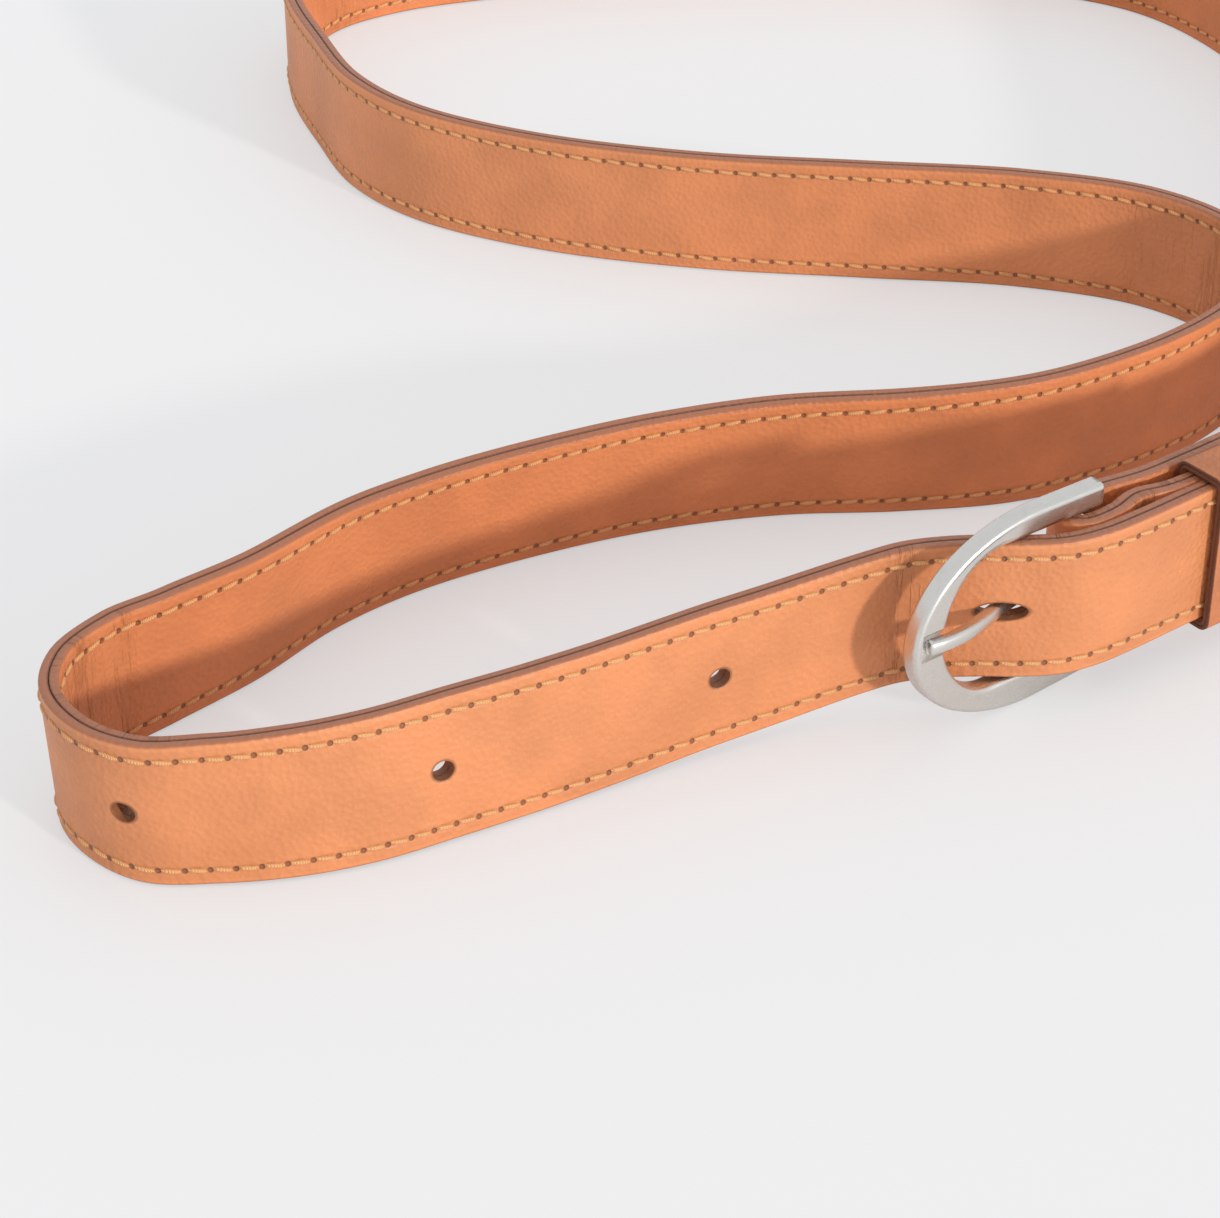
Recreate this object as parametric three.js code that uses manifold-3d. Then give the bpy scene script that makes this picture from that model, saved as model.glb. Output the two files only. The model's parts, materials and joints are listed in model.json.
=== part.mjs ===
// A buckled leather belt standing on its lower edge. Millimetres, +Z up.
// The strap is one path, from the pointed tip, through the keeper and buckle,
// round the loop and back to the buckle bar, where it folds over and ends.
import * as THREE from 'three';
import { mergeVertices } from 'three/addons/utils/BufferGeometryUtils.js';
import Module from 'manifold-3d';

const wasm = await Module();
wasm.setup();

// ---- Driving dimensions -------------------------------------------------
const STRAP_WIDTH = 22;
const PLY = 1.25;              // thickness of each leather ply
const PLY_GAP = 0.3;           // bond line between the plies
const STRAP = 2 * PLY + PLY_GAP;
const CLEAR = 0.3;             // running clearance between touching pieces
const TIP_ROUND = 13;          // length over which the tip narrows
const TIP_BLUNT = 3.5;         // height left at the very end of the tip

const HOLE_PITCH = 42;
const HOLE_HEIGHT = 2.9;
const HOLE_LENGTH = 3.2;
const USED_HOLE_LENGTH = 7.4;  // the hole in use is drawn out along the strap
const TIP_TO_USED_HOLE = 92;

const THREAD = 0.6;            // side of the thread's square section
const STITCH_INSET = 2.4;      // from the strap's edge to the stitch row

const ARM = 5.3;               // buckle arm, seen from the front
const FRAME_THICK = 3.1;       // buckle frame, front to back
const FRAME_FRONT = 2.1;       // bar axis to the frame's front face
const ARM_CLEAR = 0.4;         // strap edge to buckle arm
const FRAME_REACH = 31.3;      // bar axis to the bow's outer end
const OUTER_BEND = 9;          // where the outer line starts to curve
const INNER_BEND = 16.5;       // where the inner line starts to curve
const WINDOW_REACH = 26;       // bar axis to the far end of the window
const ARM_TAIL = 2.6;          // arm beyond the bar axis
const FRAME_TOP = 31.8;        // the upper arm is slimmer than the lower one
const FRAME_ROUND = 0.8;       // rounding of the frame's long edges
const BAR_RADIUS = 1.4;
const BAR_SINK = 1.6;          // bar end inside each arm
const PRONG = 2.0;
const PRONG_LOOP = 2.6;        // outer radius of the prong's loop on the bar
const PRONG_LOOP_HEIGHT = 3.6;
const FOLD_SLOT_HEIGHT = 5.2;  // slot in the fold that the prong comes through
const FOLD_SLOT_REACH = 8;

const KEEPER_WIDTH = 10;       // along the strap
const KEEPER_PLY = 1.3;
const KEEPER_START = 18.5;       // from the bar axis to the keeper's near edge
const TURN_BACK = 48;          // from the bar axis to the cut end
const TURN_BACK_SEAM = 43;

// ---- Places worked out from them ----------------------------------------
const EDGE_LIFT = ARM + ARM_CLEAR;               // strap edge above the table
const FRAME_HEIGHT = 2 * EDGE_LIFT + STRAP_WIDTH;
const MID_HEIGHT = FRAME_HEIGHT / 2;
const FOLD_RADIUS = BAR_RADIUS + 0.25 + STRAP / 2;
const BILLET_OFFSET = FOLD_RADIUS + STRAP + CLEAR;
const BUCKLE_ANGLE = THREE.MathUtils.degToRad(36.5);
const BAR_AXIS = new THREE.Vector2(65.4, 49.9);
const REACH_DIR = new THREE.Vector2(-Math.cos(BUCKLE_ANGLE), -Math.sin(BUCKLE_ANGLE));
const FRONT_DIR = new THREE.Vector2(Math.sin(BUCKLE_ANGLE), -Math.cos(BUCKLE_ANGLE));

// A point near the buckle: reach from the bar towards the bow, front towards the face.
function atBuckle(reach, front, height = EDGE_LIFT, lean = 0) {
  const x = BAR_AXIS.x + reach * REACH_DIR.x + front * FRONT_DIR.x;
  const y = BAR_AXIS.y + reach * REACH_DIR.y + front * FRONT_DIR.y;
  return [x, y, height, lean];
}

// ---- The strap's path: x, y, edge height, lean in degrees towards the face ----
// The leg is the strap's last stretch, coming back to the buckle. The tip lies against it.
const STRAIGHT_END = -50;
const LEG = [[133, 194, 0, 0], [131.2, 160, 0.6, 0], [127.8, 128, 2.2, 0]];
const LEG_BEND = [[124.6, 107, 3.9, 0], [120.2, 94, 4.7, 0], [114.2, 83.6, 5.4, 0]];

function besideLeg(route) {
  return route.slice(1, -1).map(([x, y, lift, lean], i) => {
    const [x0, y0] = route[i];
    const [x1, y1] = route[i + 2];
    const heading = Math.atan2(y1 - y0, x1 - x0);
    const gap = STRAP + 2 * CLEAR;
    return [x - gap * Math.sin(heading), y + gap * Math.cos(heading), lift, lean];
  });
}

const TIP_ON_LEG = besideLeg([LEG[2], ...LEG_BEND, atBuckle(STRAIGHT_END, FOLD_RADIUS)]);
const BILLET = [
  atBuckle(STRAIGHT_END, BILLET_OFFSET), atBuckle(-30, BILLET_OFFSET),
  atBuckle(-16, BILLET_OFFSET), atBuckle(-6, BILLET_OFFSET + 0.2),
  atBuckle(1, BILLET_OFFSET), atBuckle(6.7, 4.9), atBuckle(11.4, 2.2), atBuckle(15.9, -1.2),
  atBuckle(20.3, -4.8, 5.3), atBuckle(25.1, -8.1, 4.6),
];
const FRONT_RUN = [
  [34.8, 40, 3.7, 0], [23.1, 35.2, 2, -1], [11.7, 29.6, 1, -2], [0.7, 23.3, 0.3, -3],
  [-10.1, 17.1, 0, -4], [-20.6, 11.3, 0, -5], [-30.7, 6.1, 0, -5], [-40.8, 2.9, 0, -4],
  [-50.9, 1.6, 0, -2],
];
const LEFT_BEND = [
  [-60.6, 1.9, 0, 0], [-67.6, 6.6, 0, 2], [-72.4, 14, 0, 2], [-72.8, 22.5, 0, 1],
  [-68.6, 31, 0, -1], [-61.8, 38, 0, -4],
];
const SECOND_RUN = [
  [-51.4, 48.6, 0, -7], [-41, 62, 0, -10], [-29.2, 72.2, 0, -12], [-11.2, 82.4, 0, -12],
  [7.3, 89.9, 0, -11], [26.2, 94.2, 0, -9], [44.9, 95.4, 0, -7], [63.2, 98.4, 0, -4],
];
const RIGHT_BEND = [
  [82.6, 107.8, 0, -1], [97.6, 121, 0, 0], [106, 135.5, 0, 0], [104, 151.5, 0, 1],
  [92.8, 163.6, 0, 2],
];
const THIRD_RUN = [
  [72.2, 171.2, 0, 3], [44.2, 174.8, 0, 3], [16.1, 178.3, 0, 3], [-12, 185.7, 0, 2],
  [-34, 197.3, 0, 1],
];
const BACK_LEFT_BEND = [
  [-46.5, 211, 0, 0], [-54.5, 230, 0, 0], [-61, 250, 0, 0], [-62.4, 266, 0, 0],
  [-57.6, 284, 0, 0], [-45, 295, 0, 0],
];
const BACK_RUN = [
  [-24, 303, 0, 0], [8, 310, 0, 0], [44, 313, 0, 0], [80, 309, 0, 0], [110, 295, 0, 0],
  [127, 266, 0, 0], [132, 230, 0, 0],
];
const LEG_END = [
  atBuckle(STRAIGHT_END, FOLD_RADIUS), atBuckle(-32, FOLD_RADIUS), atBuckle(-14.5, FOLD_RADIUS),
  atBuckle(-9, FOLD_RADIUS - 1.2), atBuckle(-4.2, FOLD_RADIUS - 0.1),
];
const FOLD = [90, 60, 30, 0, -30, -60, -90].map((degrees) => {
  const angle = THREE.MathUtils.degToRad(degrees);
  return atBuckle(FOLD_RADIUS * Math.cos(angle), FOLD_RADIUS * Math.sin(angle));
});
const KEEPER_BACK = FOLD_RADIUS - STRAP - KEEPER_PLY - 3 * CLEAR;
const TURN_BACK_RUN = [
  atBuckle(-6, -FOLD_RADIUS), atBuckle(-14, KEEPER_BACK), atBuckle(-24, KEEPER_BACK),
  atBuckle(-34, KEEPER_BACK), atBuckle(-40, FOLD_RADIUS - STRAP - 2 * CLEAR),
  atBuckle(-TURN_BACK, FOLD_RADIUS - STRAP - 2 * CLEAR),
];
const PATH = [
  ...TIP_ON_LEG, ...BILLET, ...FRONT_RUN, ...LEFT_BEND, ...SECOND_RUN, ...RIGHT_BEND,
  ...THIRD_RUN, ...BACK_LEFT_BEND, ...BACK_RUN, ...LEG, ...LEG_BEND,
  ...LEG_END, ...FOLD, ...TURN_BACK_RUN,
];

// ---- Stations along the path --------------------------------------------
const MAX_STEP = 9;
const MAX_TURN = THREE.MathUtils.degToRad(9);
const TIP_STEP = 2;
const MIN_STEP = 1;
const FINE_STEPS = 6000;

function samplePath() {
  const route = new THREE.CatmullRomCurve3(
    PATH.map(([x, y, z]) => new THREE.Vector3(x, y, z)), false, 'centripetal');
  const leans = new THREE.CatmullRomCurve3(
    PATH.map(([, , , lean]) => new THREE.Vector3(lean, 0, 0)), false, 'catmullrom', 0.3);
  const samples = [];
  let travelled = 0;
  let last = route.getPoint(0);
  for (let i = 0; i <= FINE_STEPS; i += 1) {
    const t = i / FINE_STEPS;
    const point = route.getPoint(t);
    point.z = Math.max(0, point.z);
    const ahead = route.getPoint(Math.min(1, t + 1e-4));
    const behind = route.getPoint(Math.max(0, t - 1e-4));
    travelled += point.distanceTo(last);
    last = point;
    const heading = Math.atan2(ahead.y - behind.y, ahead.x - behind.x);
    const lean = THREE.MathUtils.degToRad(leans.getPoint(t).x);
    samples.push({ point, heading, lean, travelled });
  }
  return samples;
}

const SAMPLES = samplePath();

function buckleReach(point) {
  return (point.x - BAR_AXIS.x) * REACH_DIR.x + (point.y - BAR_AXIS.y) * REACH_DIR.y;
}

function usedHoleDistance() {
  const across = SAMPLES.map(({ point }) => (point.x - BAR_AXIS.x) * FRONT_DIR.x
    + (point.y - BAR_AXIS.y) * FRONT_DIR.y);
  const index = across.findIndex((value, i) => i > 0 && value < 0.2 && across[i - 1] >= 0.2);
  return SAMPLES[index].travelled;
}

const USED_HOLE = usedHoleDistance();
const STRAP_START = USED_HOLE - TIP_TO_USED_HOLE;
const STRAP_END = SAMPLES[SAMPLES.length - 1].travelled;
const HOLES = [-1, 0, 1, 2, 3].map((step) => USED_HOLE + step * HOLE_PITCH);

function angleBetween(a, b) {
  return Math.abs(Math.atan2(Math.sin(a - b), Math.cos(a - b)));
}

function chooseStations() {
  const inside = SAMPLES.filter(({ travelled }) => travelled >= STRAP_START);
  const kept = [inside[0]];
  inside.forEach((sample) => {
    const previous = kept[kept.length - 1];
    const step = sample.travelled - previous.travelled;
    const nearTip = sample.travelled - STRAP_START < TIP_ROUND;
    const turned = angleBetween(sample.heading, previous.heading) > MAX_TURN;
    if (turned || step > (nearTip ? TIP_STEP : MAX_STEP)) kept.push(sample);
  });
  const end = inside[inside.length - 1];
  if (end.travelled - kept[kept.length - 1].travelled < MIN_STEP) kept.pop();
  kept.push(end);
  return kept;
}

// Every ply and thread shares these stations, so that they stay parallel.
const STATIONS = chooseStations();

function stationsBetween(from, to) {
  return STATIONS.filter(({ travelled }) => travelled >= from && travelled <= to);
}

// The point of a station's section: side towards the face, height above the strap's edge.
function onSection({ point, heading, lean }, side, height) {
  const foot = Math.abs(Math.sin(lean)) * STRAP / 2;
  const across = side * Math.cos(lean) + height * Math.sin(lean);
  const up = height * Math.cos(lean) - side * Math.sin(lean) + foot;
  const x = point.x - across * Math.sin(heading);
  const y = point.y + across * Math.cos(heading);
  return new THREE.Vector3(x, y, point.z + up);
}

// ---- Solids ---------------------------------------------------------------
function sweptBox(list, side0, side1, heightRange) {
  const positions = [];
  list.forEach((station) => {
    const [low, high] = heightRange(station);
    const corners = [[side0, low], [side1, low], [side1, high], [side0, high]];
    corners.forEach(([side, height]) => {
      positions.push(...onSection(station, side, height).toArray());
    });
  });
  // Both wide faces are split from the low edge to the next ring's high edge.
  const faces = [0, 2, 1, 0, 3, 2];
  for (let ring = 0; ring < list.length - 1; ring += 1) {
    for (let corner = 0; corner < 4; corner += 1) {
      const a = ring * 4 + corner;
      const b = ring * 4 + ((corner + 1) % 4);
      if (corner === 1) faces.push(a, b, b + 4, a, b + 4, a + 4);
      else faces.push(a, b, a + 4, b, b + 4, a + 4);
    }
  }
  const end = (list.length - 1) * 4;
  faces.push(end, end + 1, end + 2, end, end + 2, end + 3);
  return outward(positions, faces);
}

function outward(positions, faces) {
  const geometry = new THREE.BufferGeometry();
  geometry.setAttribute('position', new THREE.Float32BufferAttribute(positions, 3));
  geometry.setIndex(faces);
  if (signedVolume(geometry) < 0) {
    for (let i = 0; i < faces.length; i += 3) {
      [faces[i + 1], faces[i + 2]] = [faces[i + 2], faces[i + 1]];
    }
    geometry.setIndex(faces);
  }
  return geometry;
}

function signedVolume(geometry) {
  const position = geometry.getAttribute('position');
  const index = geometry.getIndex();
  const a = new THREE.Vector3();
  const b = new THREE.Vector3();
  const c = new THREE.Vector3();
  let volume = 0;
  for (let i = 0; i < index.count; i += 3) {
    a.fromBufferAttribute(position, index.getX(i));
    b.fromBufferAttribute(position, index.getX(i + 1));
    c.fromBufferAttribute(position, index.getX(i + 2));
    volume += a.dot(b.cross(c)) / 6;
  }
  return volume;
}

function toSolid(geometry) {
  const bare = geometry.clone();
  bare.deleteAttribute('normal');
  bare.deleteAttribute('uv');
  const merged = mergeVertices(bare, 1e-4);
  return new wasm.Manifold(new wasm.Mesh({
    numProp: 3,
    vertProperties: new Float32Array(merged.getAttribute('position').array),
    triVerts: new Uint32Array(merged.getIndex().array),
  }));
}

function toGeometry(solid) {
  const mesh = solid.getMesh();
  const geometry = new THREE.BufferGeometry();
  const positions = new Float32Array(mesh.vertProperties);
  geometry.setAttribute('position', new THREE.BufferAttribute(positions, 3));
  geometry.setIndex(new THREE.BufferAttribute(new Uint32Array(mesh.triVerts), 1));
  return geometry;
}

function sampleAt(distance) {
  return SAMPLES.find(({ travelled }) => travelled >= distance);
}

// An oval plug through both plies, with its axis along the strap's thickness.
function holePlug(distance, length) {
  const station = sampleAt(distance);
  const plug = new THREE.CylinderGeometry(HOLE_HEIGHT / 2, HOLE_HEIGHT / 2, 3 * STRAP, 16);
  plug.scale(length / HOLE_HEIGHT, 1, 1);
  plug.rotateZ(station.heading);
  const centre = onSection(station, 0, STRAP_WIDTH / 2);
  plug.translate(centre.x, centre.y, centre.z);
  return toSolid(plug);
}

// The slot that lets the prong out of the fold.
function foldSlot() {
  const slot = new THREE.BoxGeometry(2 * FOLD_SLOT_REACH, 4 * FOLD_RADIUS, FOLD_SLOT_HEIGHT);
  slot.rotateZ(BUCKLE_ANGLE);
  slot.translate(BAR_AXIS.x, BAR_AXIS.y, MID_HEIGHT);
  const [x, y] = atBuckle(0, -FOLD_RADIUS);
  const shift = new THREE.Vector2(x - BAR_AXIS.x, y - BAR_AXIS.y).multiplyScalar(0.25);
  slot.translate(shift.x, shift.y, 0);
  return toSolid(slot);
}

function plyHeight(station) {
  const fromTip = station.travelled - STRAP_START;
  if (fromTip >= TIP_ROUND) return [0, STRAP_WIDTH];
  const share = Math.sqrt(Math.max(0, 1 - (1 - fromTip / TIP_ROUND) ** 2));
  const height = TIP_BLUNT + (STRAP_WIDTH - TIP_BLUNT) * share;
  return [(STRAP_WIDTH - height) / 2, (STRAP_WIDTH + height) / 2];
}

function ply(side0, side1) {
  const body = sweptBox(STATIONS, side0, side1, plyHeight);
  let solid = toSolid(body);
  HOLES.forEach((distance) => {
    const length = distance === USED_HOLE ? USED_HOLE_LENGTH : HOLE_LENGTH;
    solid = solid.subtract(holePlug(distance, length));
  });
  return toGeometry(solid.subtract(foldSlot()));
}

function strapFacePly() {
  return ply(PLY_GAP / 2, STRAP / 2);
}

function strapLiningPly() {
  return ply(-STRAP / 2, -PLY_GAP / 2);
}

// Distances along the path to the points on the leg, and on the billet, that are
// this far along the buckle's reach.
function legDistance(reach) {
  const foldStart = STRAP_END - TURN_BACK - Math.PI * FOLD_RADIUS;
  const before = SAMPLES.filter(({ point, travelled }) => (
    travelled < foldStart && buckleReach(point) <= reach));
  return before[before.length - 1].travelled;
}

function billetDistance(reach) {
  return SAMPLES.find(({ point }) => buckleReach(point) >= reach).travelled;
}

// The face rows stop where the tip begins to cover the leg, and the lining rows
// start past the fold and stop at the turned-back end.
const TIP_REACH = buckleReach(sampleAt(STRAP_START).point);
const FACE_ROW = [STRAP_START + TIP_ROUND, legDistance(TIP_REACH - 6)];
const LINING_ROW = [billetDistance(5), legDistance(-TURN_BACK - 4)];
const THREAD_SIDE = STRAP / 2 + 0.1;

function threadRow(side, height, [from, to]) {
  const low = height - THREAD / 2;
  const inner = side > 0 ? side : side - THREAD / 2;
  const outer = side > 0 ? side + THREAD / 2 : side;
  return sweptBox(stationsBetween(from, to), inner, outer, () => [low, low + THREAD]);
}

function needleThreadUpper() {
  return threadRow(THREAD_SIDE, STRAP_WIDTH - STITCH_INSET, FACE_ROW);
}

function needleThreadLower() {
  return threadRow(THREAD_SIDE, STITCH_INSET, FACE_ROW);
}

function bobbinThreadUpper() {
  return threadRow(-THREAD_SIDE, STRAP_WIDTH - STITCH_INSET, LINING_ROW);
}

function bobbinThreadLower() {
  return threadRow(-THREAD_SIDE, STITCH_INSET, LINING_ROW);
}

// The seam that closes the fold, seen as one line of thread on the turned-back end.
function turnBackThread() {
  const seam = sampleAt(STRAP_END - TURN_BACK + TURN_BACK_SEAM);
  const next = sampleAt(seam.travelled + THREAD);
  const range = [STITCH_INSET, STRAP_WIDTH - STITCH_INSET];
  const side = THREAD_SIDE + CLEAR / 2;
  return sweptBox([seam, next], side, side + THREAD / 2, () => range);
}

// Stands a shape drawn in reach and height at the buckle, centred on its thickness.
function standAtBuckle(geometry, front = 0) {
  const toWorld = new THREE.Matrix4().makeBasis(
    new THREE.Vector3(REACH_DIR.x, REACH_DIR.y, 0),
    new THREE.Vector3(0, 0, 1),
    new THREE.Vector3(-FRONT_DIR.x, -FRONT_DIR.y, 0));
  const origin = atBuckle(0, front, 0);
  toWorld.setPosition(origin[0], origin[1], 0);
  return geometry.applyMatrix4(toWorld);
}

// The frame's outline in reach and height: two arms that taper towards the bar and a bow.
function frameOutline() {
  const windowTop = FRAME_HEIGHT - ARM - 0.1;
  const outerHalf = FRAME_TOP / 2;
  const innerHalf = (windowTop - ARM) / 2;
  const quarter = Math.PI / 2;
  const shape = new THREE.Shape();
  shape.moveTo(-ARM_TAIL, 0.8);
  shape.lineTo(OUTER_BEND, 0);
  shape.absellipse(OUTER_BEND, outerHalf, FRAME_REACH - OUTER_BEND, outerHalf,
    -quarter, quarter, false);
  shape.lineTo(-ARM_TAIL, FRAME_TOP - 0.2);
  shape.lineTo(-ARM_TAIL, windowTop);
  shape.lineTo(INNER_BEND, windowTop);
  shape.absellipse(INNER_BEND, ARM + innerHalf, WINDOW_REACH - INNER_BEND, innerHalf,
    quarter, -quarter, true);
  shape.lineTo(-ARM_TAIL, ARM);
  shape.closePath();
  return shape;
}

function barSocket() {
  const depth = FRAME_HEIGHT - 2 * (ARM - BAR_SINK - 0.05);
  const socket = new THREE.CylinderGeometry(BAR_RADIUS + 0.05, BAR_RADIUS + 0.05, depth, 20);
  socket.rotateX(Math.PI / 2);
  socket.translate(BAR_AXIS.x, BAR_AXIS.y, MID_HEIGHT);
  return toSolid(socket);
}

const NOTCH_HEIGHT = 4.4;
const NOTCH_DEPTH = 1.3;

// The seat in the bow's front face that holds the prong's tip.
function prongSeat() {
  const seat = new THREE.BoxGeometry(ARM + 4, NOTCH_HEIGHT, 2 * NOTCH_DEPTH);
  seat.translate(FRAME_REACH - 1.2 - (ARM + 4) / 2, MID_HEIGHT, 0);
  return toSolid(standAtBuckle(seat, FRAME_FRONT));
}

function buckleFrame() {
  const solid = new THREE.ExtrudeGeometry(frameOutline(), {
    depth: FRAME_THICK - 2 * FRAME_ROUND, curveSegments: 24, bevelEnabled: true,
    bevelThickness: FRAME_ROUND, bevelSize: FRAME_ROUND, bevelOffset: -FRAME_ROUND,
    bevelSegments: 4,
  });
  solid.translate(0, 0, -(FRAME_THICK - 2 * FRAME_ROUND) / 2);
  const body = toSolid(standAtBuckle(solid, FRAME_FRONT - FRAME_THICK / 2));
  return toGeometry(body.subtract(barSocket()).subtract(prongSeat()));
}

function buckleBar() {
  const length = FRAME_HEIGHT - 2 * (ARM - BAR_SINK);
  const bar = new THREE.CylinderGeometry(BAR_RADIUS, BAR_RADIUS, length, 20);
  bar.rotateX(Math.PI / 2);
  bar.translate(BAR_AXIS.x, BAR_AXIS.y, MID_HEIGHT);
  return bar;
}

// The prong's middle line, in reach and front, from its loop to its tip.
const PRONG_LINE = [
  [1.4, 0], [8, -0.5], [12.5, -0.4], [17.5, 1.1], [22.5, 2.4], [27, 2.5], [29.4, 2.1],
];

function prongBlade() {
  const line = new THREE.CatmullRomCurve3(
    PRONG_LINE.map(([reach, front]) => new THREE.Vector3(...atBuckle(reach, front, MID_HEIGHT))));
  const half = PRONG / 2;
  const section = new THREE.Shape();
  section.absellipse(0, 0, half, half * 1.15, 0, 2 * Math.PI);
  return new THREE.ExtrudeGeometry(section, {
    steps: 26, curveSegments: 8, bevelEnabled: false, extrudePath: line,
  });
}

function prongLoop() {
  const bore = BAR_RADIUS + 0.2;
  const half = PRONG_LOOP_HEIGHT / 2;
  const profile = [[bore, -half], [PRONG_LOOP, -half], [PRONG_LOOP, half], [bore, half]];
  const points = [...profile, profile[0]].map(([radius, height]) => (
    new THREE.Vector2(radius, height)));
  const loop = new THREE.LatheGeometry(points, 28);
  loop.rotateX(Math.PI / 2);
  loop.translate(BAR_AXIS.x, BAR_AXIS.y, MID_HEIGHT);
  return loop;
}

function barClearance() {
  const room = new THREE.CylinderGeometry(BAR_RADIUS + 0.2, BAR_RADIUS + 0.2, STRAP_WIDTH, 28);
  room.rotateX(Math.PI / 2);
  room.translate(BAR_AXIS.x, BAR_AXIS.y, MID_HEIGHT);
  return toSolid(room);
}

function prong() {
  const joined = toSolid(prongBlade()).add(toSolid(prongLoop()));
  return toGeometry(joined.subtract(barClearance()));
}

// The keeper wraps the billet and the leg, with the turned-back end behind it.
const KEEPER_FRONT = BILLET_OFFSET + STRAP / 2 + THREAD / 2 + CLEAR;
const KEEPER_REAR = FOLD_RADIUS - STRAP / 2 - CLEAR;
const KEEPER_LOW = EDGE_LIFT - CLEAR;
const KEEPER_HIGH = EDGE_LIFT + STRAP_WIDTH + CLEAR;

function roundedOutline(path, x0, y0, x1, y1, radius) {
  path.moveTo(x0 + radius, y0);
  path.lineTo(x1 - radius, y0);
  path.absarc(x1 - radius, y0 + radius, radius, -Math.PI / 2, 0, false);
  path.lineTo(x1, y1 - radius);
  path.absarc(x1 - radius, y1 - radius, radius, 0, Math.PI / 2, false);
  path.lineTo(x0 + radius, y1);
  path.absarc(x0 + radius, y1 - radius, radius, Math.PI / 2, Math.PI, false);
  path.lineTo(x0, y0 + radius);
  path.absarc(x0 + radius, y0 + radius, radius, Math.PI, 1.5 * Math.PI, false);
  return path;
}

// Turns a section drawn in front and height so that its depth runs along the strap.
function standAcrossStrap(geometry, reach) {
  const toWorld = new THREE.Matrix4().makeBasis(
    new THREE.Vector3(FRONT_DIR.x, FRONT_DIR.y, 0),
    new THREE.Vector3(0, 0, 1),
    new THREE.Vector3(REACH_DIR.x, REACH_DIR.y, 0));
  const origin = atBuckle(reach, 0, 0);
  toWorld.setPosition(origin[0], origin[1], 0);
  return geometry.applyMatrix4(toWorld);
}

function keeperBand() {
  const grow = KEEPER_PLY;
  const outer = roundedOutline(new THREE.Shape(),
    KEEPER_REAR - grow, KEEPER_LOW - grow, KEEPER_FRONT + grow, KEEPER_HIGH + grow, 1.8);
  const inner = roundedOutline(new THREE.Path(),
    KEEPER_REAR, KEEPER_LOW, KEEPER_FRONT, KEEPER_HIGH, 0.6);
  outer.holes.push(inner);
  const band = new THREE.ExtrudeGeometry(outer, {
    depth: KEEPER_WIDTH, curveSegments: 4, bevelEnabled: false,
  });
  return standAcrossStrap(band, -KEEPER_START - KEEPER_WIDTH);
}

// A wire staple crosses the butted ends of the band on the inside of its rear wall.
function keeperStaple() {
  const wire = new THREE.BoxGeometry(0.22, 7, 0.9);
  wire.translate(KEEPER_REAR + 0.12, MID_HEIGHT, KEEPER_WIDTH / 2);
  return standAcrossStrap(wire, -KEEPER_START - KEEPER_WIDTH);
}

// ---- Materials and assembly ------------------------------------------------
function leather(color) {
  return new THREE.MeshStandardMaterial({ color, roughness: 0.55, metalness: 0 });
}

function satinMetal() {
  return new THREE.MeshStandardMaterial({ color: 0xb9b8b4, roughness: 0.35, metalness: 1 });
}

function thread() {
  return new THREE.MeshStandardMaterial({ color: 0xe2a468, roughness: 0.8, metalness: 0 });
}

function named(name, geometry, material) {
  const mesh = new THREE.Mesh(geometry, material);
  mesh.name = name;
  return mesh;
}

const belt = new THREE.Group();
belt.add(
  named('strap_face_ply', strapFacePly(), leather(0xd08450)),
  named('strap_lining_ply', strapLiningPly(), leather(0xc0703f)),
  named('needle_thread_upper', needleThreadUpper(), thread()),
  named('needle_thread_lower', needleThreadLower(), thread()),
  named('bobbin_thread_upper', bobbinThreadUpper(), thread()),
  named('bobbin_thread_lower', bobbinThreadLower(), thread()),
  named('turn_back_thread', turnBackThread(), thread()),
  named('keeper_band', keeperBand(), leather(0xb96a3c)),
  named('keeper_staple', keeperStaple(), satinMetal()),
  named('buckle_frame', buckleFrame(), satinMetal()),
  named('buckle_bar', buckleBar(), satinMetal()),
  named('prong', prong(), satinMetal()),
);

// The origin is the centre of the belt's box, on the surface that it stands on.
const box = new THREE.Box3().setFromObject(belt);
const middle = box.getCenter(new THREE.Vector3());
belt.position.set(-middle.x, -middle.y, -box.min.z);

export default belt;
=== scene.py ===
"""A buckled leather belt standing on its edge: finish, stage and camera."""
import json
import math
import random

import bpy
import numpy as np
from bpy.props import FloatProperty, FloatVectorProperty, PointerProperty
from mathutils import Matrix, Vector


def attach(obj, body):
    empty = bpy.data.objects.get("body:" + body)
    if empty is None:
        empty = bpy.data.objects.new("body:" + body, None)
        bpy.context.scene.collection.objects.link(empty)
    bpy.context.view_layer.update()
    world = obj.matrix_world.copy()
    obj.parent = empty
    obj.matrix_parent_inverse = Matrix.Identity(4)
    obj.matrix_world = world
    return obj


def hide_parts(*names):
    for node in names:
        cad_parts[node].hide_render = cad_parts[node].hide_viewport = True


bl_info = {
    "name": "Leather belt",
    "version": (1, 0, 0),
    "blender": (4, 5, 0),
    "location": "View3D > Sidebar > Belt",
    "description": "Models a stitched leather belt with a prong buckle",
    "category": "Object",
}

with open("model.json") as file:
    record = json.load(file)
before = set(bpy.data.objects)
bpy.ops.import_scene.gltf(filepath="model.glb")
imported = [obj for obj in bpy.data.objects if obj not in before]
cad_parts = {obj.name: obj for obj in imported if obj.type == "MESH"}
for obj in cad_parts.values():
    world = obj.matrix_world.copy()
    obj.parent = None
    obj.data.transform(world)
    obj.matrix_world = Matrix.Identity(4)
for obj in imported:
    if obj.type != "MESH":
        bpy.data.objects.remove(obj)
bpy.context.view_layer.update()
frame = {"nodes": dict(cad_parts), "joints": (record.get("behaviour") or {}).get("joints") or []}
MM = 0.001

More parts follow.
